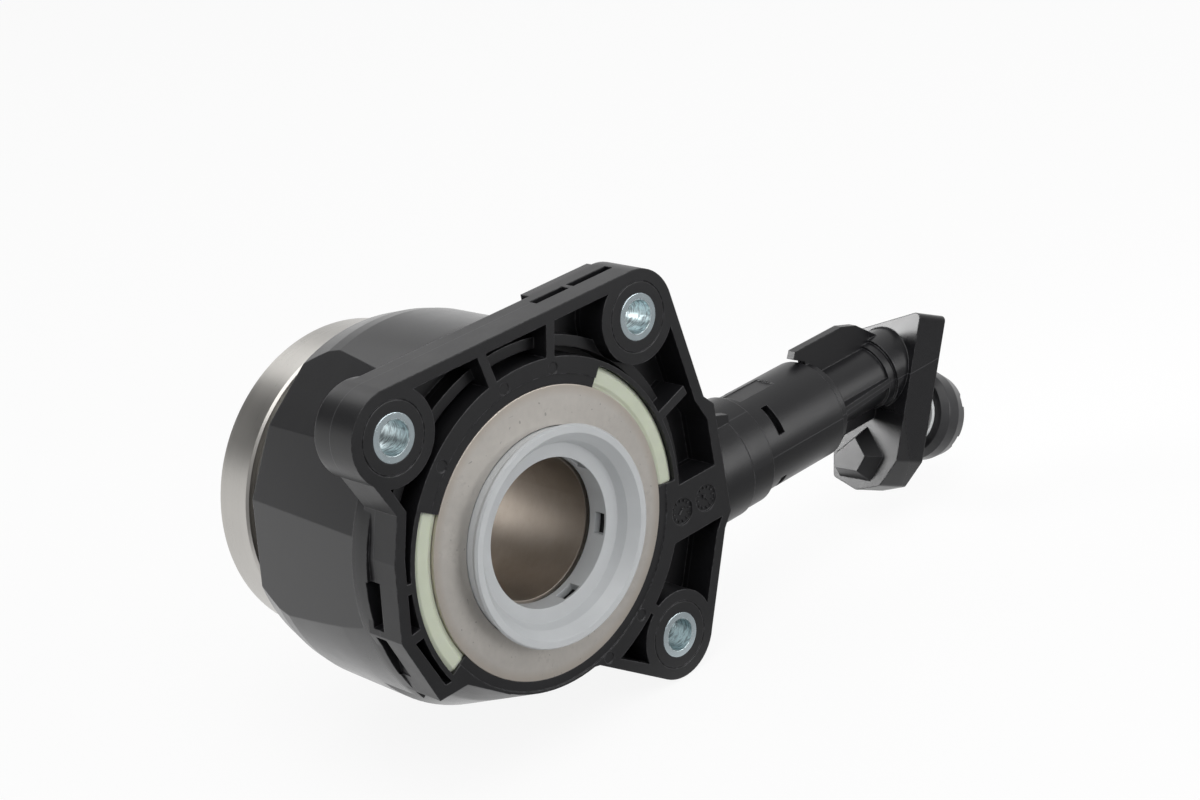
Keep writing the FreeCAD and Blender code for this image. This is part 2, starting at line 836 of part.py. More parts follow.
def make_seal_carrier():
    """Grey plastic ring in the cup that carries the shaft seal, with six windows in its bore."""
    body = turned_piece(
        "seal_carrier",
        [
            (tube_bore_r + 0.4, 0.6),
            (tube_bore_r + 3.2, 0.3),
            (cup_inner_r - 2.6, -1.6),
            (cup_inner_r - 0.9, -3.6),
            (cup_inner_r + 0.5, -3.6),
            (cup_inner_r + 0.8, -3.0),
            (cup_inner_r - 0.2, -1.4),
            (cup_inner_r - 0.2, 4.6),
            (cup_inner_r - 1.7, 4.6),
            (cup_inner_r - 1.7, 1.9),
            (tube_bore_r + 1.9, 2.3),
            (tube_bore_r + 1.9, 5.2),
            (tube_bore_r + 0.4, 5.2),
        ],
    )
    half = carrier_window_wide / 2
    windows = [
        box(
            f"carrier_window_{i}",
            (carrier_window_deep, carrier_window_tall, carrier_window_wide),
            tube_bore_r * wave("cos", 42.0 + 60 * i) + half * wave("sin", 42.0 + 60 * i),
            carrier_window_y,
            tube_bore_r * wave("sin", 42.0 + 60 * i) - half * wave("cos", 42.0 + 60 * i),
            (V(0, -1, 0), 42.0 + 60 * i),
        )
        for i in range(6)
    ]
    return carve("shaft_seal_carrier", body, windows)


def make_shaft_seal():
    """Rubber lip seal behind the carrier, with its garter spring."""
    back = cup_depth - tube_wall - seat_gap
    seal = turned_piece(
        "shaft_seal",
        [
            (tube_bore_r + 2.2, 3.2),
            (tube_bore_r + 3.0, 2.6),
            (tube_bore_r + 3.6, 3.4),
            (tube_bore_r + 3.4, back - 0.8),
            (cup_inner_r - 1.9, back - 0.8),
            (cup_inner_r - 0.2, 4.7),
            (cup_inner_r - 0.2, back),
            (tube_bore_r + 2.2, back),
        ],
    )
    garter = round_ring("seal_garter_spring", tube_bore_r + 4.3, 3.7, garter_wire)
    return [seal, garter]


def make_face_seal():
    """Pale ring that shows through the windows of the lip and seals the face."""
    inner = tube_flange_r + seat_gap * 2
    crown = 1.0
    front = lip_thick + seat_gap
    back = seal_groove_depth - seat_gap
    ring = turned_piece(
        "face_seal_band",
        [
            (inner, front),
            (seal_band_r - seat_gap, front),
            (seal_band_r - seat_gap, back),
            (inner, back),
        ],
    )
    pads = [ring]
    outer = seal_groove_r - seat_gap
    for tag, start in (("one", window_one_start), ("two", window_two_start)):
        pad_ring = new_body(f"face_seal_pad_{tag}")
        revolve(
            pad_ring,
            f"face_seal_pad_{tag}_turn",
            [
                (inner, front + 0.3),
                (inner + crown, front - pad_rise),
                (outer - crown, front - pad_rise),
                (outer, front + 0.3),
                (outer, back),
                (inner, back),
            ],
        )
        bind(pad_ring.Tip, "Angle", window_span)
        pad_ring.Tip.Reversed = True
        pads.append(place(pad_ring, turn=(V(0, -1, 0), start)))
    return join("face_seal", pads)


def make_piston():
    """Ring piston on the guide tube, with its rubber seal behind it."""
    skirt_end = piston_back + piston_skirt
    wiper_y = stop_ring_y - ring_clear - 2.6
    piston = turned_piece(
        "piston",
        [
            (piston_bore_r, piston_back),
            (piston_r, piston_back),
            (piston_r, skirt_end - 0.8),
            (piston_r - 0.8, skirt_end),
            (piston_nose_r, skirt_end),
            (piston_nose_r, stop_ring_y - ring_clear),
            (piston_bore_r + 1.9, stop_ring_y - ring_clear),
            (piston_bore_r + 1.9, wiper_y),
            (piston_bore_r, wiper_y),
        ],
    )
    seal = turned_piece(
        "piston_seal",
        [
            (piston_bore_r, seal_back),
            (piston_bore_r + 0.8, seal_back),
            (piston_bore_r + 1.5, seal_back + 2.0),
            (piston_r - 1.5, seal_back + 2.0),
            (piston_r - 0.8, seal_back),
            (piston_r, seal_back),
            (piston_r, piston_back - 0.02),
            (piston_bore_r, piston_back - 0.02),
        ],
    )
    wiper = turned_piece(
        "dust_wiper",
        [
            (piston_bore_r, wiper_y + 1.4),
            (piston_bore_r + 0.9, wiper_y + 0.1),
            (piston_bore_r + 1.85, wiper_y + 0.1),
            (piston_bore_r + 1.85, wiper_y + 2.3),
            (piston_bore_r + 0.7, wiper_y + 2.3),
        ],
    )
    stop = turned_piece(
        "stop_ring",
        [
            (tube_r - 0.35, stop_ring_y + 0.05),
            (stop_ring_outer_r, stop_ring_y + 0.05),
            (stop_ring_outer_r, stop_ring_y + stop_ring_wire - 0.05),
            (tube_r - 0.35, stop_ring_y + stop_ring_wire - 0.05),
        ],
    )
    return [piston, seal, wiper, stop]


def make_bearing():
    """Angular release bearing: two rings, balls in a cage, a shield, and what holds it to the piston."""
    sleeve_inner = piston_nose_r + 0.05
    sleeve_outer = sleeve_inner + 1.1
    clip_y = bearing_back + back_wall + 0.02
    carrier = turned_piece(
        "bearing_carrier",
        [
            (sleeve_inner, piston_shoulder),
            (carrier_r, piston_shoulder),
            (carrier_r, bearing_back - 0.02),
            (sleeve_outer, bearing_back - 0.02),
            (sleeve_outer, clip_y + clip_thick + 0.05),
            (sleeve_outer + 0.7, clip_y + clip_thick + 0.05),
            (sleeve_outer + 0.5, clip_y + clip_thick + 0.55),
            (sleeve_inner, clip_y + clip_thick + 0.55),
        ],
    )
    clip = turned_piece(
        "bearing_clip",
        [
            (sleeve_outer + 0.05, clip_y),
            (back_bore_r + 1.5, clip_y),
            (back_bore_r + 1.5, clip_y + clip_thick),
            (sleeve_outer + 0.05, clip_y + clip_thick),
        ],
    )
    outer_race = ball_pitch_r + ball_r
    inner_race = ball_pitch_r - ball_r
    outer_blank = turned_piece(
        "outer_ring_blank",
        [
            (back_bore_r, bearing_back),
            (bearing_r - 0.5, bearing_back),
            (bearing_r, bearing_back + 0.5),
            (bearing_r, bearing_front - 1.0),
            (bearing_r - 0.7, bearing_front),
            (outer_race - 0.1, bearing_front),
            (outer_race - 0.1, bearing_front - 1.9),
            (ball_pitch_r + shoulder, bearing_front - 1.9),
            (ball_pitch_r + shoulder, bearing_back + back_wall),
            (back_bore_r, bearing_back + back_wall),
        ],
    )
    inner_blank = turned_piece(
        "inner_ring_blank",
        [
            (inner_ring_bore_r, bearing_back + back_wall + clip_thick + 0.5),
            (ball_pitch_r - shoulder, bearing_back + back_wall + clip_thick + 0.5),
            (ball_pitch_r - shoulder, bearing_front - 0.2),
            (ball_pitch_r + 2.6, bearing_front + 0.5),
            (ball_pitch_r + 2.6, bearing_front + 1.2),
            (ball_pitch_r + 0.4, contact_front - 0.35),
            (ball_pitch_r - 1.8, contact_front),
            (inner_ring_bore_r + 1.2, contact_front - 0.5),
            (inner_ring_bore_r, contact_front - 1.6),
        ],
    )
    groove = doc.addObject("Part::Torus", "race_groove")
    bind(groove, "Radius1", ball_pitch_r)
    bind(groove, "Radius2", ball_r + race_gap)
    place(groove, y=ball_y, turn=(V(1, 0, 0), -90))
    outer = carve("bearing_outer_ring", outer_blank, [groove])
    inner = carve("bearing_inner_ring", inner_blank, [groove])
    shield = turned_piece(
        "bearing_shield",
        [
            (ball_pitch_r - shoulder + loose_gap, bearing_front - 1.85),
            (outer_race - 0.15, bearing_front - 1.85),
            (outer_race - 0.15, bearing_front - 1.05),
            (ball_pitch_r - shoulder + loose_gap, bearing_front - 1.05),
        ],
    )
    cage_half = shoulder - loose_gap * 2
    cage_blank = turned_piece(
        "cage_blank",
        [
            (ball_pitch_r - cage_half, ball_y - ball_r + 0.1),
            (ball_pitch_r + cage_half, ball_y - ball_r + 0.1),
            (ball_pitch_r + cage_half, ball_y + ball_r - 1.0),
            (ball_pitch_r - cage_half, ball_y + ball_r - 1.0),
        ],
    )
    balls, pockets = [], []
    for i in range(ball_count):
        angle = 360.0 * i / ball_count
        x, z = ball_pitch_r * wave("cos", angle), ball_pitch_r * wave("sin", angle)
        for kept, radius, tag in (
            (balls, ball_r, "ball"),
            (pockets, ball_r + 0.12, "ball_pocket"),
        ):
            sphere = doc.addObject("Part::Sphere", f"{tag}_{i}")
            bind(sphere, "Radius", radius)
            kept.append(place(sphere, x, ball_y, z, (V(1, 0, 0), -90)))
    cage = carve("bearing_cage", cage_blank, pockets)
    group = doc.addObject("Part::Compound", "bearing_balls")
    group.Links = balls
    return [carrier, clip, outer, inner, shield, cage, group]


def make_preload_spring():
    """Coil spring from the housing floor to the bearing carrier: tilted half turns, flat at both ends."""
    low = flange_depth + floor_thick + wire_r + seat_gap
    rise = (piston_shoulder - wire_r - seat_gap - low) / coil_halves
    tilt = math.degrees(math.atan2(number(rise) / 2, number(coil_r)))
    halves = []
    for i in range(coil_halves + 2):
        flat = i in (0, coil_halves + 1)
        lift = 0 if i == 0 else rise * coil_halves if flat else rise * (i - 0.5)
        half = doc.addObject("Part::Torus", f"coil_half_{i}")
        reach = coil_r if flat else coil_r / math.cos(math.radians(tilt))
        bind(half, "Radius1", reach)
        bind(half, "Radius2", wire_r)
        half.Angle3 = 180
        side = FreeCAD.Rotation(V(0, 0, 1), 180 * (i % 2))
        lean = FreeCAD.Rotation(V(0, 1, 0), 0 if flat else tilt if i % 2 else -tilt)
        upright = FreeCAD.Rotation(V(1, 0, 0), -90)
        turn = upright.multiply(lean).multiply(side)
        half.Placement = FreeCAD.Placement(V(0, number(low + lift), 0), turn)
        half.setExpression("Placement.Base.y", (low + lift).text)
        halves.append(half)
    return join("preload_spring", halves)


def along_arm(item):
    """Lays a piece that was turned about Y along the arm's axis."""
    return place(item, 0, arm_y, arm_z, (V(0, 0, 1), -90))


def make_snap_sleeve():
    """Sleeve that snaps over the stub's nose and holds the inlet tube in it."""
    body = turned_piece(
        "sleeve_blank",
        [
            (nose_r + 0.1, stub_end + 0.05),
            (snap_sleeve_r, stub_end + 0.05),
            (snap_sleeve_r, snap_sleeve_end - 0.5),
            (snap_sleeve_r - 0.5, snap_sleeve_end),
            (nose_r + 0.1, snap_sleeve_end),
        ],
    )
    along_arm(body)
    tools = []
    for i in range(4):
        slot = sector(
            f"snap_slot_{i}",
            nose_r - 0.5,
            snap_sleeve_r + 1,
            0,
            Size(1.8, "1.8"),
            0,
            Size(36.0, "36"),
        )
        slot.Placement = FreeCAD.Placement()
        turn = FreeCAD.Rotation(V(0, 0, 1), -90).multiply(
            FreeCAD.Rotation(V(0, 1, 0), -20 - 90 * i)
        )
        slot.Placement = FreeCAD.Placement(V(0, 0, 0), turn)
        for way, value in (("x", stub_end + 4.2), ("y", arm_y), ("z", arm_z)):
            slot.setExpression(f"Placement.Base.{way}", value.text)
        tools.append(slot)
    for i, side in enumerate((1, -1)):
        tools.append(
            box(
                f"sleeve_flat_{i}",
                (10.4, 5.0, 3.0),
                stub_end + 2.2,
                arm_y - 2.5,
                arm_z + side * (snap_sleeve_r - 0.45) - (0 if side > 0 else 3.0),
            )
        )
    return carve("snap_sleeve", body, tools)


def make_inlet_tube():
    """Moulded inlet pipe with cross fins and the cover plate of the bell housing window."""
    groove = stub_bore_floor + inlet_groove
    groove_end = groove + inlet_ring_wire * 1.4
    body = turned_piece(
        "inlet_pipe",
        [
            (pipe_channel_r, stub_bore_floor + 0.3),
            (stub_bore_r - 0.9, stub_bore_floor + 0.3),
            (stub_bore_r - 0.1, stub_bore_floor + 1.3),
            (stub_bore_r - 0.1, groove),
            (stub_bore_r - 1.7, groove),
            (stub_bore_r - 1.7, groove_end),
            (stub_bore_r - 0.1, groove_end),
            (stub_bore_r - 0.1, nose_end + 0.05),
            (collar_wide_r - 0.05, nose_end + 0.05),
            (collar_wide_r - 0.05, snap_sleeve_end),
            (snap_sleeve_r - 1.0, snap_sleeve_end + 0.05),
            (snap_sleeve_r - 1.0, snap_sleeve_end + 1.8),
            (pipe_r, snap_sleeve_end + 1.8),
            (pipe_r, plate_x - ring_one_back),
            (pipe_r + ring_step, plate_x - ring_one_back),
            (pipe_r + ring_step, plate_x - ring_two_back),
            (pipe_r + ring_step * 2, plate_x - ring_two_back),
            (pipe_r + ring_step * 2, plate_x + 4.0),
            (pipe_channel_r, plate_x + 4.0),
        ],
    )
    along_arm(body)
    fin_start = snap_sleeve_end + 0.6
    upright = new_body("upright_fin")
    rise = fin_top_z - arm_z
    pad(
        upright,
        "upright_fin_pad",
        "XZ_Plane",
        [
            (fin_start - 3.2, rise - 1.6),
            (fin_start - 2.3, rise),
            (plate_x - 11.2, rise),
            (plate_x - 6.6, rise - 1.4),
            (plate_x + 3.6, rise - 9.0),
            (plate_x, -fin_reach),
            (fin_start + 6.0, -fin_reach),
            (fin_start, -fin_reach + 3.0),
            (fin_start, rise - 3.2),
        ],
        fin_thick,
    )
    upright.Group[-1].Midplane = True
    place(upright, 0, arm_y, arm_z)
    level = new_body("level_fin")
    pad(
        level,
        "level_fin_pad",
        "XY_Plane",
        [
            (fin_start, -fin_reach + 0.6),
            (plate_x - 5.6, -fin_reach + 2.2),
            (plate_x - 4.6, -pipe_r),
            (plate_x - 4.6, pipe_r),
            (plate_x - 5.6, fin_reach - 2.2),
            (fin_start, fin_reach - 0.6),
        ],
        fin_thick,
    )
    level.Group[-1].Midplane = True
    place(level, 0, arm_y, arm_z)
    tilt = (V(0, 1, 0), plate_tilt)
    plate = new_body("cover_plate")
    pad(plate, "cover_plate_pad", "YZ_Plane", plate_corners(0), plate_thick)
    doc.recompute()
    edges = [
        f"Edge{i + 1}"
        for i, edge in enumerate(plate.Shape.Edges)
        if abs(edge.tangentAt(edge.FirstParameter).x) > 0.999
    ]
    blank = plate.Tip
    rounding = plate.newObject("PartDesign::Fillet", "cover_plate_rounding")
    rounding.Base = (blank, edges)
    bind(rounding, "Radius", plate_round)
    plate.Tip = rounding
    place(plate, plate_x, arm_y, arm_z, tilt)
    hollow = new_body("cover_hollow")
    pad(
        hollow,
        "cover_hollow_pad",
        "YZ_Plane",
        plate_corners(plate_wall),
        plate_thick - plate_floor + 1,
    )
    out_x, out_z = wave("cos", plate_tilt), wave("sin", plate_tilt)
    place(
        hollow,
        plate_x + plate_floor * out_x,
        arm_y,
        arm_z - plate_floor * out_z,
        tilt,
    )
    shell = carve("cover_shell", plate, [hollow])
    boss = new_body("cover_boss")
    pad(
        boss,
        "cover_boss_pad",
        "YZ_Plane",
        [
            (plate_half - 0.6, plate_low + plate_far_chamfer),
            (plate_half * 0.7, plate_low + 1.8),
            (-plate_half * 0.3, plate_low + 2.2),
            (-plate_half * 0.6, plate_low + plate_near_chamfer),
            (0.6, plate_low + plate_far_chamfer * 2),
        ],
        plate_boss_high,
        back=True,
    )
    boss.Tip.TaperAngle = -28
    place(boss, plate_x + 0.5, arm_y, arm_z, tilt)
    neck = turned_piece(
        "port_neck",
        [
            (0, 1),
            (port_neck_r, 1),
            (port_neck_r, port_bead_start),
            (port_bead_r, port_bead_start),
            (port_neck_r, port_bead_start + port_bead_r - port_neck_r),
            (port_neck_r, port_neck_end - 0.6),
            (port_neck_r - 0.6, port_neck_end),
            (0, port_neck_end),
        ],
    )
    along_port(neck)
    bridge = box(
        "channel_bridge",
        (plate_thick - 1, pipe_r * 1.5, port_drop + pipe_r),
        plate_x + 0.9 * out_x - (port_drop + 4) * out_z,
        arm_y - pipe_r * 0.75,
        arm_z - 0.9 * out_z - (port_drop + 4) * out_x,
        tilt,
    )
    whole = join("inlet_mass", [body, upright, level, shell, boss, neck, bridge])
    port = turned_piece(
        "port_bore",
        [
            (0, port_bore_floor),
            (port_tip_r, port_bore_floor),
            (port_tip_r, port_seal_y - port_seal_wire * 0.6),
            (port_groove_r, port_seal_y - port_seal_wire * 0.6),
            (port_groove_r, port_seal_y + port_seal_wire * 0.6),
            (port_bore_r, port_seal_y + port_seal_wire * 0.6),
            (port_bore_r, port_neck_end - 0.5),
            (port_bore_r + 0.5, port_neck_end),
            (port_bore_r + 0.5, port_neck_end + 1),
            (0, port_neck_end + 1),
        ],
    )
    along_port(port)
    way_down = cylinder("port_channel", pipe_channel_r, port_drop + port_bore_r)
    place(
        way_down,
        plate_x + (port_bore_floor - pipe_channel_r) * out_x,
        arm_y,
        arm_z - (port_bore_floor - pipe_channel_r) * out_z,
    )
    way_down.Placement = FreeCAD.Placement(
        V(0, 0, 0), FreeCAD.Rotation(V(0, 1, 0), number(plate_tilt) + 180)
    )
    inner_way = cylinder(
        "pipe_channel", pipe_channel_r, plate_x - stub_bore_floor + 1, stub_bore_floor, arm_y, arm_z, "x"
    )
    return carve("inlet_tube", whole, [port, way_down, inner_way])


def plate_corners(inset):
    """The cover plate's outline in (y, z) of its own frame, moved inwards by a wall."""
    half = plate_half - inset
    top, low = plate_top - inset, plate_low + inset
    return [
        (-half, top),
        (half, top - plate_top_slope),
        (half, low + plate_far_chamfer),
        (half * 0.88, low + plate_far_chamfer * 0.25),
        (half * 0.1, low),
        (-half * 0.6, low + plate_near_chamfer * 0.25),
        (-half, low + plate_near_chamfer),
    ]


def along_port(item, start=0):
    """Lays a piece that was turned about Y along the port's axis, from the plate's inner face."""
    item.Placement = FreeCAD.Placement(
        V(0, 0, 0),
        FreeCAD.Rotation(V(0, 1, 0), number(plate_tilt)).multiply(
            FreeCAD.Rotation(V(0, 0, 1), -90)
        ),
    )
    out_x, out_z = wave("cos", plate_tilt), wave("sin", plate_tilt)
    item.setExpression(
        "Placement.Base.x", (plate_x + start * out_x - port_drop * out_z).text
    )
    item.setExpression("Placement.Base.y", arm_y.text)
    item.setExpression(
        "Placement.Base.z", (arm_z - start * out_z - port_drop * out_x).text
    )
    return item


def make_port():
    """Castellated collar of the line connector, with its clip ring and seals."""
    length = port_collar_end - port_collar_start
    recess_start = port_bead_start - port_collar_start - seat_gap
    recess_end = recess_start + (port_bead_r - port_neck_r) + release_travel + 0.4
    collar = turned_piece(
        "collar_blank",
        [
            (port_neck_r + 0.1, 0),
            (port_collar_r - 1.2, 0),
            (port_collar_r, length * 0.15),
            (port_collar_r, length * 0.45),
            (port_collar_r - 0.9, length * 0.75),
            (port_collar_r - 3.0, length),
            (port_neck_r + 0.1, length),
            (port_neck_r + 0.1, recess_end),
            (port_bead_r + 0.15, recess_end),
            (port_bead_r + 0.15, recess_start),
            (port_neck_r + 0.1, recess_start),
        ],
    )
    along_port(collar, port_collar_start)
    notches = []
    for i in range(3):
        notch = new_body(f"collar_notch_{i}")
        pad(
            notch,
            f"collar_notch_{i}_pad",
            "XY_Plane",
            [
                (-port_collar_r - 2, length * 0.68),
                (port_collar_r + 2, length * 0.68),
                (port_collar_r + 2, length + 2),
                (-port_collar_r - 2, length + 2),
            ],
            3.0,
        )
        notch.Group[-1].Midplane = True
        along_port(notch, port_collar_start)
        spin = FreeCAD.Rotation(V(0, 1, 0), 30 + 60 * i)
        notch.Placement = FreeCAD.Placement(
            notch.Placement.Base, notch.Placement.Rotation.multiply(spin)
        )
        notches.append(notch)
    collar = carve("port_collar", collar, notches)
    clip = turned_piece(
        "port_ring",
        [
            (port_neck_r + 0.05, 0),
            (port_neck_r + 1.9, 0),
            (port_neck_r + 2.2, 0.5),
            (port_neck_r + 1.9, 1.0),
            (port_neck_r + 0.05, 1.0),
        ],
    )
    along_port(clip, port_collar_start - 1.05)
    seal_middle = port_groove_r - seat_gap - port_seal_wire / 2
    seal = round_ring("port_seal", seal_middle, port_seal_y, port_seal_wire)
    along_port(seal)
    inlet_ring = round_ring(
        "inlet_o_ring",
        stub_bore_r - inlet_ring_wire / 2 - seat_gap / 2,
        stub_bore_floor + inlet_groove + inlet_ring_wire * 0.7,
        inlet_ring_wire,
    )
    along_arm(inlet_ring)
    return [collar, clip, seal, inlet_ring]


pieces = [make_housing(), make_bolt_sleeves(), make_guide_tube(), make_seal_carrier()]
pieces += [make_tube_o_ring()] + make_shaft_seal() + [make_face_seal()] + make_piston() + make_bearing()
pieces += [make_preload_spring(), make_snap_sleeve(), make_inlet_tube()] + make_port()
doc.recompute()

for item in doc.Objects:
    if "Invalid" in item.State or "Error" in item.State:
        raise ValueError(f"{item.Name} failed: {item.State}")
os.makedirs("parts", exist_ok=True)
for piece in pieces:
    piece.Label = piece.Name
    shape = piece.Shape
    if shape.isNull() or not shape.isValid():
        raise ValueError(f"{piece.Name} has no valid shape")
    print(piece.Name, len(shape.Solids), round(shape.Volume), shape.BoundBox)
    shape.exportStep(f"parts/{piece.Name}.step")
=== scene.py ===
import json
import math

import bmesh
import bpy
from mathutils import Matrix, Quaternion, Vector


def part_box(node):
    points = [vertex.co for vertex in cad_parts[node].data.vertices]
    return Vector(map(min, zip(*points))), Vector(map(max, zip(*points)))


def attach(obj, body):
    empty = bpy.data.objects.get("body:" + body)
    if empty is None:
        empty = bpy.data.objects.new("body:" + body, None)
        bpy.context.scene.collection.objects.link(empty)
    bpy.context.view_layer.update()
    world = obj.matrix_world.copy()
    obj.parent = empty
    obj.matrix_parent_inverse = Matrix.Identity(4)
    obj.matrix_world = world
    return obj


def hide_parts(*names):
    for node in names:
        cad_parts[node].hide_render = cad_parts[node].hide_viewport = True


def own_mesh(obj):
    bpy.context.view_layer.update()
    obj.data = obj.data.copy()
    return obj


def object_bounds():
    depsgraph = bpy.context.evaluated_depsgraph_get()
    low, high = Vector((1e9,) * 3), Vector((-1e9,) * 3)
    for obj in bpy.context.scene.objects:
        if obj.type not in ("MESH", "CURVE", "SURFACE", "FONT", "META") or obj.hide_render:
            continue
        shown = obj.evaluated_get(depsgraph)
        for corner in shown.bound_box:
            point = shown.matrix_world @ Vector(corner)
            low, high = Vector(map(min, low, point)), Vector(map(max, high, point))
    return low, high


bl_info = {
    "name": "Clutch slave cylinder looks",
    "version": (1, 0, 0),
    "blender": (4, 5, 0),
    "location": "View3D > Sidebar > Cylinder",
    "description": "Finishes, spring, mould marks and stage for a concentric clutch slave cylinder",
    "category": "Object",
}

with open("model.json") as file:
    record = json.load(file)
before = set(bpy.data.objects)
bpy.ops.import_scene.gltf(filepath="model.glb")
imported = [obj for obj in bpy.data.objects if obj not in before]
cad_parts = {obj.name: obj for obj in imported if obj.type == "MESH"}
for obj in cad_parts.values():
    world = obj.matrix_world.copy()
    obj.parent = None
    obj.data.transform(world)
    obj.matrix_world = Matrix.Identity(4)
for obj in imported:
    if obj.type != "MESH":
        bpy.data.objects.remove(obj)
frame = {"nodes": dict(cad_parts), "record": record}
CAD_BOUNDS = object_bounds()

MM = 0.001
HOUSING = "housing_body"
ALONG_BORE = Vector((0.0, 1.0, 0.0))


def stated(kind, name):
    """One of the record's mounts or joints."""
    record = frame["record"]
    rows = record["mounts"] if kind == "mount" else record["behaviour"]["joints"]
    return next(row for row in rows if row["name"] == name)


def colour_property(name, description, default):
    """A colour setting with its name, use and start value."""
    return bpy.props.FloatVectorProperty(
        name=name,
        description=description,
        default=default,
        size=3,
        min=0.0,
        max=1.0,
        subtype="COLOR",
    )


def length_property(name, description, default, low=0.0):
    """A length setting in metres."""
    return bpy.props.FloatProperty(
        name=name,
        description=description,
        default=default,
        min=low,
        subtype="DISTANCE",
        unit="LENGTH",
    )


def angle_property(name, description, default):
    """An angle setting, given in degrees and kept in radians."""
    return bpy.props.FloatProperty(
        name=name,
        description=description,
        default=math.radians(default),
        subtype="ANGLE",
        unit="ROTATION",
    )


class CylinderColours(bpy.types.PropertyGroup):
    """Colours of the finishes."""

    black_plastic: colour_property(
        "Black plastic", "Glass-filled black moulding", (0.0075, 0.0074, 0.0086)
    )
    # Lighter colour for real scuffs and dust, also used as a painted highlight on the moulding edges
    scuffed_and_glint: colour_property(
        "Scuffed plastic", "Scuffed edges and dust of the black mouldings", (0.11, 0.11, 0.118)
    )
    zinc: colour_property("Zinc", "Zinc plated limiter sleeves", (0.74, 0.85, 0.90))
    tube_steel: colour_property(
        "Drawn steel", "Warm grey of the guide tube's flange", (0.74, 0.705, 0.66)
    )
    # The bore wall is only given a darker colour than the flange
    tube_bore: colour_property(
        "Tube bore", "Darker oiled wall inside the guide tube", (0.34, 0.30, 0.26)
    )
    bearing_steel: colour_property(
        "Bearing steel", "Ground steel of the release bearing", (0.49, 0.475, 0.45)
    )
    spring_steel: colour_property(
        "Spring steel", "Oil-tempered spring wire", (0.16, 0.155, 0.15)
    )
    carrier_grey: colour_property(
        "Seal carrier", "Light grey carrier of the shaft seal", (0.46, 0.475, 0.485)
    )
    seal_green: colour_property(
        "Face seal", "Pale green sealing ring", (0.50, 0.535, 0.43)
    )
    rubber: colour_property("Rubber", "Black seals", (0.014, 0.014, 0.015))
    cage: colour_property("Cage", "Natural nylon of the ball cage", (0.42, 0.34, 0.2))
    white_ring: colour_property("White ring", "Ring behind the collar", (0.74, 0.76, 0.76))
    collar: colour_property("Collar", "Release collar of the connector", (0.03, 0.03, 0.032))
    piston: colour_property("Piston", "Dark resin of the piston", (0.05, 0.05, 0.055))
    ball_steel: colour_property("Ball steel", "Polished bearing balls", (0.78, 0.79, 0.8))


class CylinderSizes(bpy.types.PropertyGroup):
    """Sizes of the pieces made here and of the stage."""

    edge_round: length_property("Edge round", "Edge radius of the mouldings", 0.3 * MM)
    wire: length_property("Spring wire", "Diameter of the spring wire", 2.6 * MM)
    coils: bpy.props.FloatProperty(
        name="Coils", description="Open turns of the spring", default=3.0, min=1.0
    )
    tick: length_property("Dial tick", "Height of the ticks on a mould dial", 0.28 * MM)
    lens: bpy.props.FloatProperty(
        name="Lens", description="Focal length in mm", default=71.8, min=10.0
    )
    azimuth: angle_property("Azimuth", "Camera direction round the part", -40.1)
    elevation: angle_property("Elevation", "Camera height over the horizon", 21.5)
    roll: angle_property("Roll", "Clockwise roll of the camera", 10.3)
    distance: length_property("Distance", "From the camera to the aim point", 0.45)


class Value:
    """A socket of a shader's tree that takes part in arithmetic."""

    def __init__(self, shader, socket):
        self.shader = shader
        self.socket = socket

    def maths(self, operation, *values):
        """One Math node on this and other values."""
        return self.shader.node("ShaderNodeMath", {"operation": operation}, values)

    def __add__(self, other):
        return self.maths("ADD", self, other)

    def __radd__(self, other):
        return self.maths("ADD", other, self)

    def __sub__(self, other):
        return self.maths("SUBTRACT", self, other)

    def __rsub__(self, other):
        return self.maths("SUBTRACT", other, self)

    def __mul__(self, other):
        return self.maths("MULTIPLY", self, other)

    def __rmul__(self, other):
        return self.maths("MULTIPLY", other, self)

    def __truediv__(self, other):
        return self.maths("DIVIDE", self, other)

    def __pow__(self, other):
        return self.maths("POWER", self, other)

    def size(self):
        """This value without its sign."""
        return self.maths("ABSOLUTE", self)

    def clamped(self):
        """This value held between 0 and 1."""
        return self.shader.node("ShaderNodeClamp", {}, [self, 0.0, 1.0])

    def below(self, limit, soft):
        """1 where this value is under a limit, passing to 0 over a soft width."""
        return ((limit - self) / soft + 0.5).clamped()


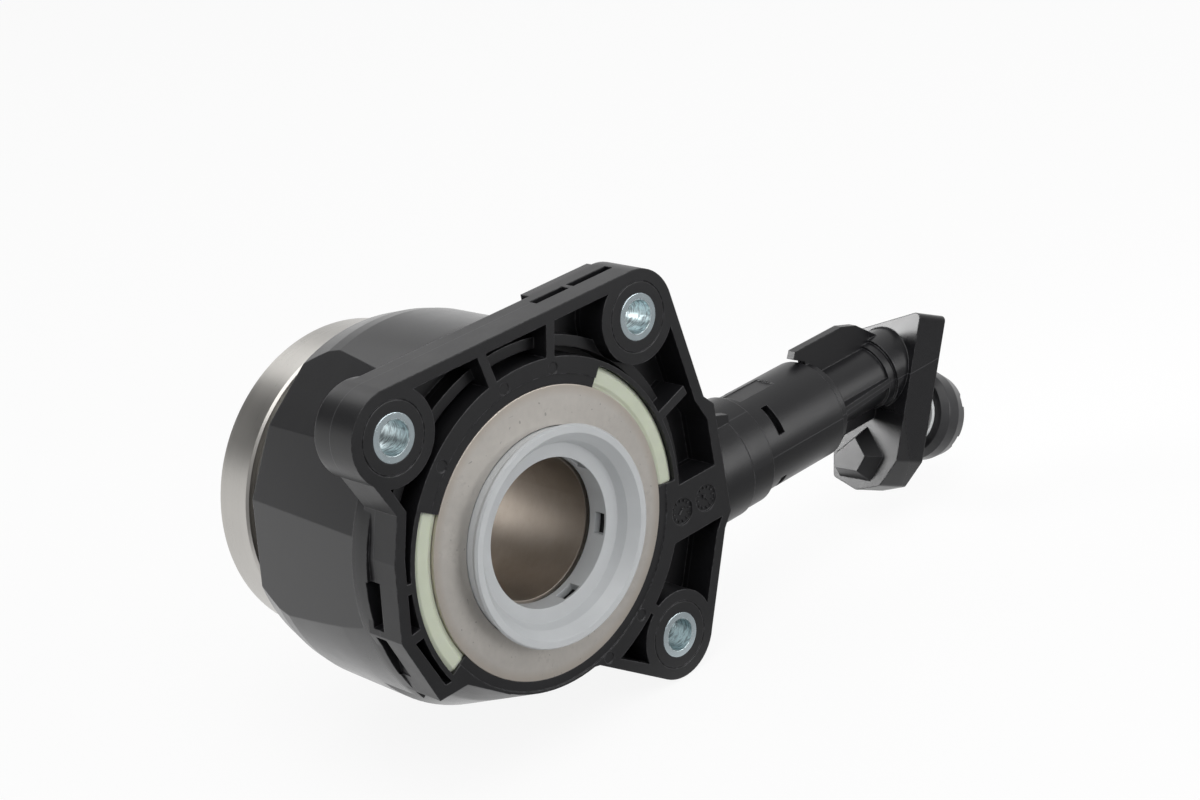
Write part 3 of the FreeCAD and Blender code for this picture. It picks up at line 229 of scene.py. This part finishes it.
class Shader:
    """A material or world and its nodes."""

    def __init__(self, owner):
        owner.use_nodes = True
        self.owner = owner
        self.tree = owner.node_tree
        self.tree.nodes.clear()

    def node(self, kind, settings=None, inputs=(), output=0):
        """A node of any type: its settings first, then the values or links of its sockets."""
        made = self.tree.nodes.new(kind)
        for name, setting in (settings or {}).items():
            if name == "stops":
                self.set_stops(made.color_ramp.elements, setting)
            else:
                setattr(made, name, setting)
        pairs = inputs.items() if isinstance(inputs, dict) else enumerate(inputs)
        for key, value in pairs:
            socket = made.inputs[key]
            if isinstance(value, Value):
                self.tree.links.new(value.socket, socket)
            elif hasattr(socket.default_value, "__len__"):
                socket.default_value = (*value, 1.0)[: len(socket.default_value)]
            else:
                socket.default_value = value
        return Value(self, made.outputs[output] if made.outputs else None)

    def set_stops(self, elements, stops):
        """Puts grey stops on a colour ramp."""
        while len(elements) < len(stops):
            elements.new(0.5)
        for element, (at, level) in zip(elements, stops):
            element.position = at
            element.color = (level, level, level, 1.0)

    def outputs(self, kind, *names):
        """Several outputs of one new node."""
        node = self.node(kind, output=names[0]).socket.node
        return [Value(self, node.outputs[name]) for name in names]

    def place(self):
        """Object coordinates, which are the part's own frame in metres."""
        return self.node("ShaderNodeTexCoord", output="Object")

    def parts(self, vector):
        """The three numbers of a vector."""
        node = self.node("ShaderNodeSeparateXYZ", {}, [vector]).socket.node
        return [Value(self, node.outputs[i]) for i in range(3)]

    def vector(self, *numbers):
        """A vector from three numbers."""
        return self.node("ShaderNodeCombineXYZ", {}, numbers)

    def noise(self, where, size, detail=2.0, rough=0.5):
        """Soft noise from 0 to 1 with features about as large as a size in metres."""
        return self.node(
            "ShaderNodeTexNoise",
            {"noise_dimensions": "3D"},
            {"Vector": where, "Scale": 1.0 / size, "Detail": detail, "Roughness": rough},
        )

    def ramp(self, value, *stops):
        """A grey ramp."""
        return self.node("ShaderNodeValToRGB", {"stops": stops}, [value])

    def mix(self, factor, first, second):
        """One colour passing into another."""
        return self.node(
            "ShaderNodeMix",
            {"data_type": "RGBA"},
            {0: factor, 6: first, 7: second},
            output=2,
        )

    def facing(self, first, second):
        """The dot product of two vectors."""
        return self.node(
            "ShaderNodeVectorMath",
            {"operation": "DOT_PRODUCT"},
            [first, second],
            output="Value",
        )

    def edge_normal(self, radius):
        """The normal with its sharp edges rounded to a radius."""
        return self.node("ShaderNodeBevel", {"samples": 6}, {"Radius": radius})

    def edge_mask(self, rounded):
        """1 on the sharp edges that the rounding touches, 0 on flat stretches."""
        plain = self.node("ShaderNodeNewGeometry", output="Normal")
        return ((1.0 - self.facing(rounded, plain)) * 9.0).clamped()

    def bump(self, height, strength, distance, normal=None):
        """A bump from a height between 0 and 1."""
        inputs = {"Strength": strength, "Distance": distance, "Height": height}
        if normal:
            inputs["Normal"] = normal
        return self.node("ShaderNodeBump", {}, inputs)

    def surface(self, **inputs):
        """The Principled surface and the material's output."""
        named = {key.replace("_", " "): value for key, value in inputs.items()}
        shader = self.node("ShaderNodeBsdfPrincipled", {}, named)
        self.node("ShaderNodeOutputMaterial", {}, [shader])
        return self.owner


def new_shader(name):
    """A new material's shader."""
    return Shader(bpy.data.materials.new(name))


def tinted(tint, share):
    """A colour made lighter or darker by a share."""
    return [min(part * share, 1.0) for part in tint]


def turned_place(shader, where, across=1.0, along=1.0):
    """The distance from the part's own axis, and coordinates in which noise runs in rings."""
    x, y, z = shader.parts(where)
    radius = (x * x + z * z) ** 0.5
    return radius, shader.vector(radius * across, y * along, 0.0)


def moulded_plastic(name, colours, sizes, rough, parting, polished):
    """Black glass-filled nylon: grained, glossier past a place, dusty, with a parting line; its edges are
    lighter, partly real scuffs and partly a painted edge highlight.
    """
    shader = new_shader(name)
    where = shader.place()
    along = dict(zip("xyz", shader.parts(where)))
    cloud = shader.noise(where, 16 * MM, 3.0)
    fibre = shader.noise(where, 0.5 * MM, 3.0, 0.6)
    fine = shader.noise(where, 0.14 * MM, 1.0)
    rounded = shader.edge_normal(sizes.edge_round)
    scuff = shader.ramp(shader.noise(where, 1.4 * MM, 4.0, 0.65), (0.42, 0.0), (0.66, 1.0))
    # Edge mask: partly real scuffs, partly a painted highlight for the glints on rounded edges
    worn_and_edge_glint = (shader.edge_mask(rounded) * scuff).clamped()
    dust = shader.ramp(shader.noise(where, 0.6 * MM, 1.0), (0.80, 0.0), (0.84, 1.0))
    streak = shader.ramp(shader.noise(where, 5 * MM, 4.0, 0.6), (0.3, 0.0), (0.75, 1.0))
    deep = shader.mix(
        cloud, tinted(colours.black_plastic, 0.8), tinted(colours.black_plastic, 1.25)
    )
    axis, position = parting
    seam = (along[axis] - position).size().below(0.11 * MM, 0.08 * MM)
    axis, start = polished
    grained = along[axis].below(start, 2 * MM)
    height = (fibre * 0.45 + fine * 0.25) * (grained * 0.9 + 0.1) + seam * 1.6
    haze = (cloud - 0.5) * 0.08 + (fibre - 0.5) * grained * 0.08 + streak * 0.05
    return shader.surface(
        # Base colour: edges, dust and the parting line are lighter; on the edges this is partly a painted
        # highlight
        Base_Color=shader.mix(
            (worn_and_edge_glint * 0.65 + dust * 0.2 + seam * 0.2).clamped(), deep, colours.scuffed_and_glint
        ),
        Roughness=(rough - 0.14 + grained * 0.14 + haze).clamped(),
        Normal=shader.bump(height, 0.2, 0.06 * MM, rounded),
    )


def drawn_steel(name, colours, bore_radius, flange_radius):
    """Drawn guide tube: warm mottled flange, browner at its rim, with nicks, and a darker bore."""
    shader = new_shader(name)
    where = shader.place()
    radius, ringed = turned_place(shader, where, 1.0, 0.6)
    rings = shader.noise(ringed, 0.5 * MM, 4.0, 0.7)
    cloud = shader.noise(where, 9 * MM, 4.0, 0.6)
    mottle = shader.noise(where, 1.1 * MM, 3.0, 0.6)
    grain = shader.noise(where, 0.22 * MM, 2.0)
    stain = shader.ramp(shader.noise(where, 4.2 * MM, 5.0, 0.7), (0.58, 0.0), (0.74, 1.0))
    nick = shader.ramp(shader.noise(where, 0.9 * MM, 0.0), (0.80, 0.0), (0.83, 1.0))
    flange = shader.mix(
        (cloud * 0.65 + mottle * 0.35).clamped(),
        tinted(colours.tube_steel, 0.80),
        tinted(colours.tube_steel, 1.14),
    )
    rim = ((1.0 - radius.below(flange_radius - 1.3 * MM, 1.6 * MM)) * (mottle + 0.35)).clamped()
    brown = [part * share for part, share in zip(colours.tube_steel, (0.72, 0.63, 0.54))]
    flange = shader.mix(stain * 0.35, flange, tinted(colours.tube_steel, 0.55))
    flange = shader.mix(rim * 0.45, flange, brown)
    flange = shader.mix(nick * 0.45, flange, tinted(colours.tube_steel, 0.3))
    bore = shader.mix(cloud, tinted(colours.tube_bore, 0.8), tinted(colours.tube_bore, 1.3))
    inside = radius.below(bore_radius, 0.4 * MM)
    return shader.surface(
        Base_Color=shader.mix(inside, flange, bore),
        Metallic=1.0,
        Roughness=(0.43 + (mottle - 0.5) * 0.16 + inside * 0.08 + stain * 0.10).clamped(),
        Normal=shader.bump(
            rings * 0.5 + grain * 0.5, 0.28, 0.03 * MM, shader.edge_normal(0.25 * MM)
        ),
    )


def ground_steel(name, tint, rough, across=1.0, along=1.0):
    """Steel ground in a lathe or grinder: fine rings, a soft haze and handling marks."""
    shader = new_shader(name)
    where = shader.place()
    ringed = turned_place(shader, where, across, along)[1]
    rings = shader.noise(ringed, 0.16 * MM, 5.0, 0.75)
    broad = shader.noise(ringed, 1.6 * MM, 2.0)
    cloud = shader.noise(where, 8 * MM, 3.0, 0.55)
    speck = shader.ramp(shader.noise(where, 0.8 * MM, 2.0), (0.70, 0.0), (0.78, 1.0))
    shade = shader.mix(
        (rings * 0.4 + broad * 0.25 + cloud * 0.35).clamped(),
        tinted(tint, 0.76),
        tinted(tint, 1.18),
    )
    return shader.surface(
        Base_Color=shader.mix(speck * 0.3, shade, tinted(tint, 0.5)),
        Metallic=1.0,
        Roughness=(rough + (rings - 0.5) * 0.18 + (cloud - 0.5) * 0.10).clamped(),
        Normal=shader.bump(rings, 0.35, 0.02 * MM, shader.edge_normal(0.2 * MM)),
    )


def zinc_plate(name, tint, bores):
    """Bright bluish zinc with a fine spangle, and streaks from rolling that wind down the bores, where
    the colour is also painted darker as painted shade.
    """
    shader = new_shader(name)
    where = shader.place()
    x, y, z = shader.parts(where)
    spangle = shader.noise(where, 0.5 * MM, 4.0, 0.65)
    cloud = shader.noise(where, 2.0 * MM, 2.0)
    winding = shader.noise(shader.vector(x * 0.35, y + x * 0.5, z * 0.35), 0.7 * MM, 3.0)
    inside = 0.0
    for bore in bores:
        middle, radius = bore["pos_m"], bore["dims"]["r_mm"] * MM
        across = ((x - middle[0]) ** 2.0 + (z - middle[2]) ** 2.0) ** 0.5
        inside = inside + across.below(radius + 0.15 * MM, 0.2 * MM)
    wound = shader.ramp(winding, (0.36, 0.0), (0.5, 1.0), (0.64, 0.2))
    outside = shader.mix(cloud, tinted(tint, 0.95), tinted(tint, 1.12))
    # Inside the bores the colour runs darker: painted shade, with the winding streaks through it
    streaks_and_painted_shade = shader.mix(wound, tinted(tint, 0.45), tinted(tint, 1.15))
    return shader.surface(
        Base_Color=shader.mix(inside.clamped(), outside, streaks_and_painted_shade),
        Metallic=1.0,
        Roughness=(
            0.22 + inside.clamped() * 0.16 + (spangle - 0.5) * 0.20 + (winding - 0.5) * 0.10
        ).clamped(),
        Normal=shader.bump(
            spangle * 0.4 + winding * 0.6, 0.5, 0.08 * MM, shader.edge_normal(0.2 * MM)
        ),
    )


def smooth_plastic(name, tint, rough):
    """A smooth moulded plastic with a little cloudiness in colour and gloss."""
    shader = new_shader(name)
    where = shader.place()
    cloud = shader.noise(where, 6 * MM, 3.0)
    grain = shader.noise(where, 0.3 * MM, 2.0)
    smear = shader.ramp(shader.noise(where, 2.6 * MM, 4.0, 0.6), (0.45, 0.0), (0.8, 1.0))
    return shader.surface(
        Base_Color=shader.mix(cloud, tinted(tint, 0.92), tinted(tint, 1.06)),
        Roughness=(rough + (cloud - 0.5) * 0.08 + (grain - 0.5) * 0.05 + smear * 0.08).clamped(),
        Normal=shader.bump(grain, 0.07, 0.03 * MM, shader.edge_normal(0.3 * MM)),
    )


def soft_seal(name, tint, rough, depth):
    """Pale sealing ring: a milky, slightly see-through rubber with a faint skin."""
    shader = new_shader(name)
    where = shader.place()
    cloud = shader.noise(where, 5 * MM, 3.0)
    skin = shader.noise(where, 0.35 * MM, 2.0)
    return shader.surface(
        Base_Color=shader.mix(cloud, tinted(tint, 0.9), tinted(tint, 1.08)),
        Roughness=(rough + (cloud - 0.5) * 0.1 + (skin - 0.5) * 0.06).clamped(),
        Normal=shader.bump(skin, 0.1, 0.04 * MM, shader.edge_normal(0.4 * MM)),
        Subsurface_Weight=0.3,
        Subsurface_Radius=(0.8, 1.0, 0.5),
        Subsurface_Scale=depth,
    )


def black_rubber(name, tint, rough):
    """Matt rubber with a fine skin and dusty patches."""
    shader = new_shader(name)
    where = shader.place()
    dust = shader.ramp(shader.noise(where, 5 * MM, 4.0), (0.4, 0.0), (0.8, 1.0))
    skin = shader.noise(where, 0.2 * MM, 2.0)
    return shader.surface(
        Base_Color=shader.mix(dust * 0.3, tint, [part * 1.3 + 0.01 for part in tint]),
        Roughness=(rough + (dust - 0.5) * 0.08).clamped(),
        Normal=shader.bump(skin, 0.1, 0.03 * MM),
    )


def paint(material, *nodes):
    """Gives a finish to CAD nodes."""
    for name in nodes:
        slots = frame["nodes"][name].data.materials
        if not slots:
            slots.append(material)
        for i in range(len(slots)):
            slots[i] = material


def finish_of(node):
    """The finish that a CAD node carries."""
    return frame["nodes"][node].data.materials[0]


def settings(context):
    """The sizes and colours that the panel shows."""
    return context.scene.cylinder_sizes, context.scene.cylinder_colours


def new_piece(name, points, faces, material):
    """A mesh piece that rides on the housing, smooth over its shallow edges only."""
    mesh = bpy.data.meshes.new(name)
    mesh.from_pydata(points, [], faces)
    built = bmesh.new()
    built.from_mesh(mesh)
    bmesh.ops.recalc_face_normals(built, faces=built.faces)
    for face in built.faces:
        face.smooth = True
    built.to_mesh(mesh)
    built.free()
    mesh.set_sharp_from_angle(angle=math.radians(35))
    mesh.materials.append(material)
    piece = bpy.data.objects.new(name, mesh)
    bpy.context.scene.collection.objects.link(piece)
    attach(piece, HOUSING)
    return piece


class CYLINDER_OT_mouldings(bpy.types.Operator):
    """Finish the black moulded housing, the inlet fittings and the piston"""

    bl_idname = "cylinder.mouldings"
    bl_label = "Black mouldings"

    flange_seam = ("y", 6.2 * MM)
    bell_start = ("y", 10.5 * MM)
    plate_start = ("x", 105 * MM)

    def execute(self, context):
        sizes, colours = settings(context)
        housing = moulded_plastic(
            "housing_nylon", colours, sizes, 0.36, self.flange_seam, self.bell_start
        )
        paint(housing, "housing")
        low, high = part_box("snap_sleeve")
        arm_seam = ("z", (low[2] + high[2]) / 2)
        fitting = moulded_plastic(
            "fitting_nylon", colours, sizes, 0.34, arm_seam, self.plate_start
        )
        paint(fitting, "snap_sleeve", "inlet_tube")
        paint(smooth_plastic("collar_resin", colours.collar, 0.3), "port_collar")
        paint(smooth_plastic("piston_resin", colours.piston, 0.4), "piston")
        return {"FINISHED"}


class CYLINDER_OT_steel(bpy.types.Operator):
    """Finish the guide tube, the release bearing and the bolt sleeves"""

    bl_idname = "cylinder.steel"
    bl_label = "Steel pieces"

    def execute(self, context):
        colours = settings(context)[1]
        bore_radius = (stated("mount", "shaft_bore")["dims"]["r_mm"] + 0.6) * MM
        flange_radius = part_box("guide_tube")[1][0]
        paint(drawn_steel("drawn_steel", colours, bore_radius, flange_radius), "guide_tube")
        paint(
            ground_steel("ground_steel", colours.bearing_steel, 0.30),
            "bearing_outer_ring",
            "bearing_inner_ring",
            "bearing_carrier",
            "bearing_shield",
        )
        eyes = [stated("mount", f"bolt_eye_{letter}") for letter in "abc"]
        paint(zinc_plate("zinc_plate", colours.zinc, eyes), "bolt_sleeves")
        paint(
            ground_steel("spring_wire", colours.spring_steel, 0.36, 0.2, 0.2),
            "preload_spring",
            "stop_ring",
            "bearing_clip",
            "seal_garter_spring",
        )
        paint(ground_steel("ball_polish", colours.ball_steel, 0.12), "bearing_balls")
        return {"FINISHED"}


class CYLINDER_OT_seals(bpy.types.Operator):
    """Finish the grey seal carrier, the pale face seal, the cage and the rubber seals"""

    bl_idname = "cylinder.seals"
    bl_label = "Seals and carrier"

    def execute(self, context):
        colours = settings(context)[1]
        paint(smooth_plastic("carrier_resin", colours.carrier_grey, 0.36), "shaft_seal_carrier")
        paint(soft_seal("pale_seal", colours.seal_green, 0.38, 1.2 * MM), "face_seal")
        paint(
            black_rubber("black_rubber", colours.rubber, 0.5),
            "shaft_seal",
            "tube_o_ring",
            "piston_seal",
            "dust_wiper",
            "port_seal",
            "inlet_o_ring",
        )
        paint(smooth_plastic("cage_nylon", colours.cage, 0.45), "bearing_cage")
        paint(smooth_plastic("white_resin", colours.white_ring, 0.35), "port_ring")
        return {"FINISHED"}


class CYLINDER_OT_spring(bpy.types.Operator):
    """Wind the preload spring: flat end turns and open turns between"""

    bl_idname = "cylinder.spring"
    bl_label = "Preload spring"

    steps_per_turn = 96
    section = 14
    flat_turns = 0.7

    def execute(self, context):
        sizes = settings(context)[0]
        low, high = (Vector(corner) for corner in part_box("preload_spring"))
        wire = sizes.wire / 2
        reach = (high.x - low.x) / 2 - wire
        start, end = low.y + wire, high.y - wire
        turns = sizes.coils + 2 * self.flat_turns
        steps = round(self.steps_per_turn * turns)
        points = []
        for i in range(steps + 1):
            turn = turns * i / steps
            share = min(max((turn - self.flat_turns) / sizes.coils, 0.0), 1.0)
            eased = 0.25 * share * share * (3 - 2 * share) + 0.75 * share
            angle = 2 * math.pi * turn
            outward = Vector((math.cos(angle), 0.0, math.sin(angle)))
            middle = outward * reach + ALONG_BORE * (start + (end - start) * eased)
            for j in range(self.section):
                lean = 2 * math.pi * j / self.section
                around = outward * math.cos(lean) + ALONG_BORE * math.sin(lean)
                points.append(middle + around * wire)
        last = len(points) - self.section
        faces = [list(range(self.section)), list(range(last, len(points)))]
        for i in range(steps):
            for j in range(self.section):
                here = i * self.section + j
                after = i * self.section + (j + 1) % self.section
                faces.append((here, here + self.section, after + self.section, after))
        finish = finish_of("preload_spring")
        spring = new_piece("wound_spring", points, faces, finish)
        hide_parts("preload_spring")
        travel = -stated("joint", "release_stroke")["range_m"][0]
        1 - travel / (high.y - low.y)
        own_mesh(spring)
        return {"FINISHED"}


class CYLINDER_OT_dials(bpy.types.Operator):
    """Raise plain ticks and an arrow on the two mould dials of the mounting face"""

    bl_idname = "cylinder.dials"
    bl_label = "Mould dials"

    ticks = 12
    dial_depth = 0.4 * MM
    dial_height = -10.05 * MM
    from_flange = (4.9 * MM, 11.7 * MM)
    arrow_turns = (0.6, 2.2)

    def execute(self, context):
        height = settings(context)[0].tick
        flange_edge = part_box("guide_tube")[1][0]
        points, faces = [], []
        for step, turn in zip(self.from_flange, self.arrow_turns):
            spot = Vector((flange_edge + step, 0, self.dial_height))
            for i in range(self.ticks):
                angle = 2 * math.pi * i / self.ticks
                self.bar(points, faces, spot, angle, (1.9 * MM, 2.4 * MM), 0.26 * MM, height)
            self.bar(points, faces, spot, turn, (-0.9 * MM, 0.9 * MM), 0.3 * MM, height)
            tip = spot + Vector((math.cos(turn), 0, math.sin(turn))) * 0.95 * MM
            for side in (0.5, -0.5):
                ends = (-0.75 * MM, 0.05 * MM)
                self.bar(points, faces, tip, turn + side, ends, 0.28 * MM, height)
        new_piece("mould_dials", points, faces, finish_of("housing"))
        return {"FINISHED"}

    def bar(self, points, faces, spot, angle, ends, width, height):
        """One raised bar that points away from a spot, its top narrower than its foot."""
        along = Vector((math.cos(angle), 0, math.sin(angle)))
        across = Vector((-math.sin(angle), 0, math.cos(angle))) * width / 2
        first = len(points)
        for rise, share in ((-0.02 * MM, 1.0), (height, 0.6)):
            depth = ALONG_BORE * (self.dial_depth - rise)
            for end, side in zip((ends[0], ends[1], ends[1], ends[0]), (-1, -1, 1, 1)):
                points.append(spot + along * end + across * side * share + depth)
        faces.append([first + i for i in range(4)])
        faces.append([first + 4 + i for i in range(4)])
        for i in range(4):
            after = (i + 1) % 4
            faces.append((first + i, first + after, first + 4 + after, first + 4 + i))


class CYLINDER_OT_stage(bpy.types.Operator):
    """Set up the camera, the floor and the studio light"""

    bl_idname = "cylinder.stage"
    bl_label = "Camera, floor and light"

    floor_half = 3.0
    floor_gap = 0.4 * MM
    aim = Vector((15.9, -1.95, 21.4)) * MM
    card_soft = 0.03
    backdrop_way = (0.55, 0.81, 0.2)
    screen_way = (-0.5, 0.65, 0.57)
    room_lamps = (
        ("top_light", Vector((-0.25, -0.35, 1.0)), 1.0, 7.0),
        ("front_light", Vector((0.5, -0.95, 0.25)), 0.6, 4.2),
        ("back_light", Vector((0.1, 0.75, 0.9)), 0.5, 1.2),
    )
    plate_lamps = (
        ("plate_light", Vector((-0.135, 0.145, 0.04)), 0.12, 0.06),
        ("boss_light", Vector((-0.10, 0.12, -0.085)), 0.07, 0.012),
    )
    narrow_beam = 50.0

    def execute(self, context):
        sizes = settings(context)[0]
        scene = context.scene
        scene.view_settings.view_transform = "Standard"
        low, high = Vector(CAD_BOUNDS[0]), Vector(CAD_BOUNDS[1])
        middle = (low + high) / 2
        self.camera(scene, sizes)
        self.floor(low.z - self.floor_gap)
        self.world(scene)
        for name, *lamp in self.room_lamps:
            self.lamp(name, middle, *lamp)
        for name, *lamp in self.plate_lamps:
            self.lamp(name, Vector(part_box("inlet_tube")[1]), *lamp, self.narrow_beam)
        return {"FINISHED"}

    def camera(self, scene, sizes):
        """The photograph's view, from the left of the mounting face and above it."""
        optics = bpy.data.cameras.new("photo_view")
        optics.lens = sizes.lens
        optics.sensor_width = 36.0
        camera = bpy.data.objects.new("photo_view", optics)
        level = math.cos(sizes.elevation)
        forward = Vector(
            (
                -math.sin(sizes.azimuth) * level,
                math.cos(sizes.azimuth) * level,
                -math.sin(sizes.elevation),
            )
        )
        camera.location = self.aim - forward * sizes.distance
        camera.rotation_mode = "QUATERNION"
        upright = forward.to_track_quat("-Z", "Y")
        camera.rotation_quaternion = Quaternion(forward, sizes.roll) @ upright
        scene.collection.objects.link(camera)
        scene.camera = camera

    def floor(self, height):
        """A pale floor: white to the camera, with the shadow kept, and in gloss white behind the part."""
        half = self.floor_half
        corners = [(x * half, y * half, height) for x, y in ((-1, -1), (1, -1), (1, 1), (-1, 1))]
        mesh = bpy.data.meshes.new("floor")
        mesh.from_pydata(corners, [], [(0, 1, 2, 3)])
        floor = bpy.data.objects.new("floor", mesh)
        bpy.context.scene.collection.objects.link(floor)
        shader = new_shader("floor_white")
        seen, mirrored = shader.outputs("ShaderNodeLightPath", "Is Camera Ray", "Is Glossy Ray")
        y = shader.parts(shader.place())[1]
        behind = 1.0 - y.below(0.0, self.card_soft)
        lit = shader.node("ShaderNodeBsdfDiffuse", {}, {"Color": (0.9, 0.9, 0.9)})
        white = shader.node("ShaderNodeEmission", {}, {"Color": (1.0, 1.0, 1.0), "Strength": 1.0})
        dusk = shader.node("ShaderNodeEmission", {}, {"Color": (1.0, 1.0, 1.0), "Strength": 0.3})
        bright = shader.node("ShaderNodeMixShader", {}, [seen * 0.9, lit, white])
        card = shader.node("ShaderNodeMixShader", {}, [behind, dusk, white])
        mixed = shader.node("ShaderNodeMixShader", {}, [mirrored, bright, card])
        shader.node("ShaderNodeOutputMaterial", {}, [mixed])
        mesh.materials.append(shader.owner)

    def world(self, scene):
        """In gloss a white band behind the part and a dark screen over it, and a dimmer room."""
        scene.world = bpy.data.worlds.new("studio")
        shader = Shader(scene.world)
        seen, mirrored, through = shader.outputs(
            "ShaderNodeLightPath", "Is Camera Ray", "Is Glossy Ray", "Is Transmission Ray"
        )
        way = shader.node("ShaderNodeTexCoord", output="Generated")
        sweep = shader.ramp(shader.facing(way, self.backdrop_way), (0.0, 0.42), (0.9, 0.8))
        screen = shader.ramp(shader.facing(way, self.screen_way), (0.78, 1.0), (0.97, 0.15))
        y, z = shader.parts(way)[1:]
        band = z.below(0.2, 0.16) * (1.0 - y.below(0.1, 0.3))
        sweep = band + (1.0 - band) * sweep * screen
        shown = mirrored + through
        room = (1.0 - seen - shown).clamped() * 0.33
        white = (seen + shown * sweep + room).clamped()
        dim = shader.node("ShaderNodeBackground", {}, {"Color": (1.0, 1.0, 1.0), "Strength": 0.03})
        full = shader.node("ShaderNodeBackground", {}, {"Color": (1.0, 1.0, 1.0), "Strength": 1.0})
        mixed = shader.node("ShaderNodeMixShader", {}, [white, dim, full])
        shader.node("ShaderNodeOutputWorld", {}, [mixed])

    def lamp(self, name, target, offset, size, watts, spread=180.0):
        """A square soft light that faces the part, its beam narrowed to a spread in degrees."""
        light = bpy.data.lights.new(name, "AREA")
        light.size = size
        light.energy = watts
        light.spread = math.radians(spread)
        lamp = bpy.data.objects.new(name, light)
        lamp.location = target + offset
        lamp.rotation_euler = (-offset).to_track_quat("-Z", "Y").to_euler()
        lamp.visible_camera = False
        bpy.context.scene.collection.objects.link(lamp)


class CYLINDER_PT_panel(bpy.types.Panel):
    """Steps and settings of the clutch slave cylinder"""

    bl_idname = "CYLINDER_PT_panel"
    bl_label = "Clutch slave cylinder"
    bl_space_type = "VIEW_3D"
    bl_region_type = "UI"
    bl_category = "Cylinder"

    def draw(self, context):
        for step in STEPS:
            self.layout.operator(step.bl_idname)
        for group in settings(context):
            for name in group.bl_rna.properties.keys():
                if name not in ("rna_type", "name"):
                    self.layout.prop(group, name)


STEPS = (
    CYLINDER_OT_stage,
    CYLINDER_OT_mouldings,
    CYLINDER_OT_steel,
    CYLINDER_OT_seals,
    CYLINDER_OT_spring,
    CYLINDER_OT_dials,
)
CLASSES = (CylinderColours, CylinderSizes, *STEPS, CYLINDER_PT_panel)


def register():
    """Adds the classes and the settings."""
    for item in CLASSES:
        bpy.utils.register_class(item)
    bpy.types.Scene.cylinder_colours = bpy.props.PointerProperty(type=CylinderColours)
    bpy.types.Scene.cylinder_sizes = bpy.props.PointerProperty(type=CylinderSizes)


def unregister():
    """Takes the classes and the settings away."""
    del bpy.types.Scene.cylinder_sizes
    del bpy.types.Scene.cylinder_colours
    for item in reversed(CLASSES):
        bpy.utils.unregister_class(item)


def main():
    """Dresses the part step by step."""
    register()
    for step in STEPS:
        group, name = step.bl_idname.split(".")
        getattr(getattr(bpy.ops, group), name)()


if __name__ == "__main__":
    main()
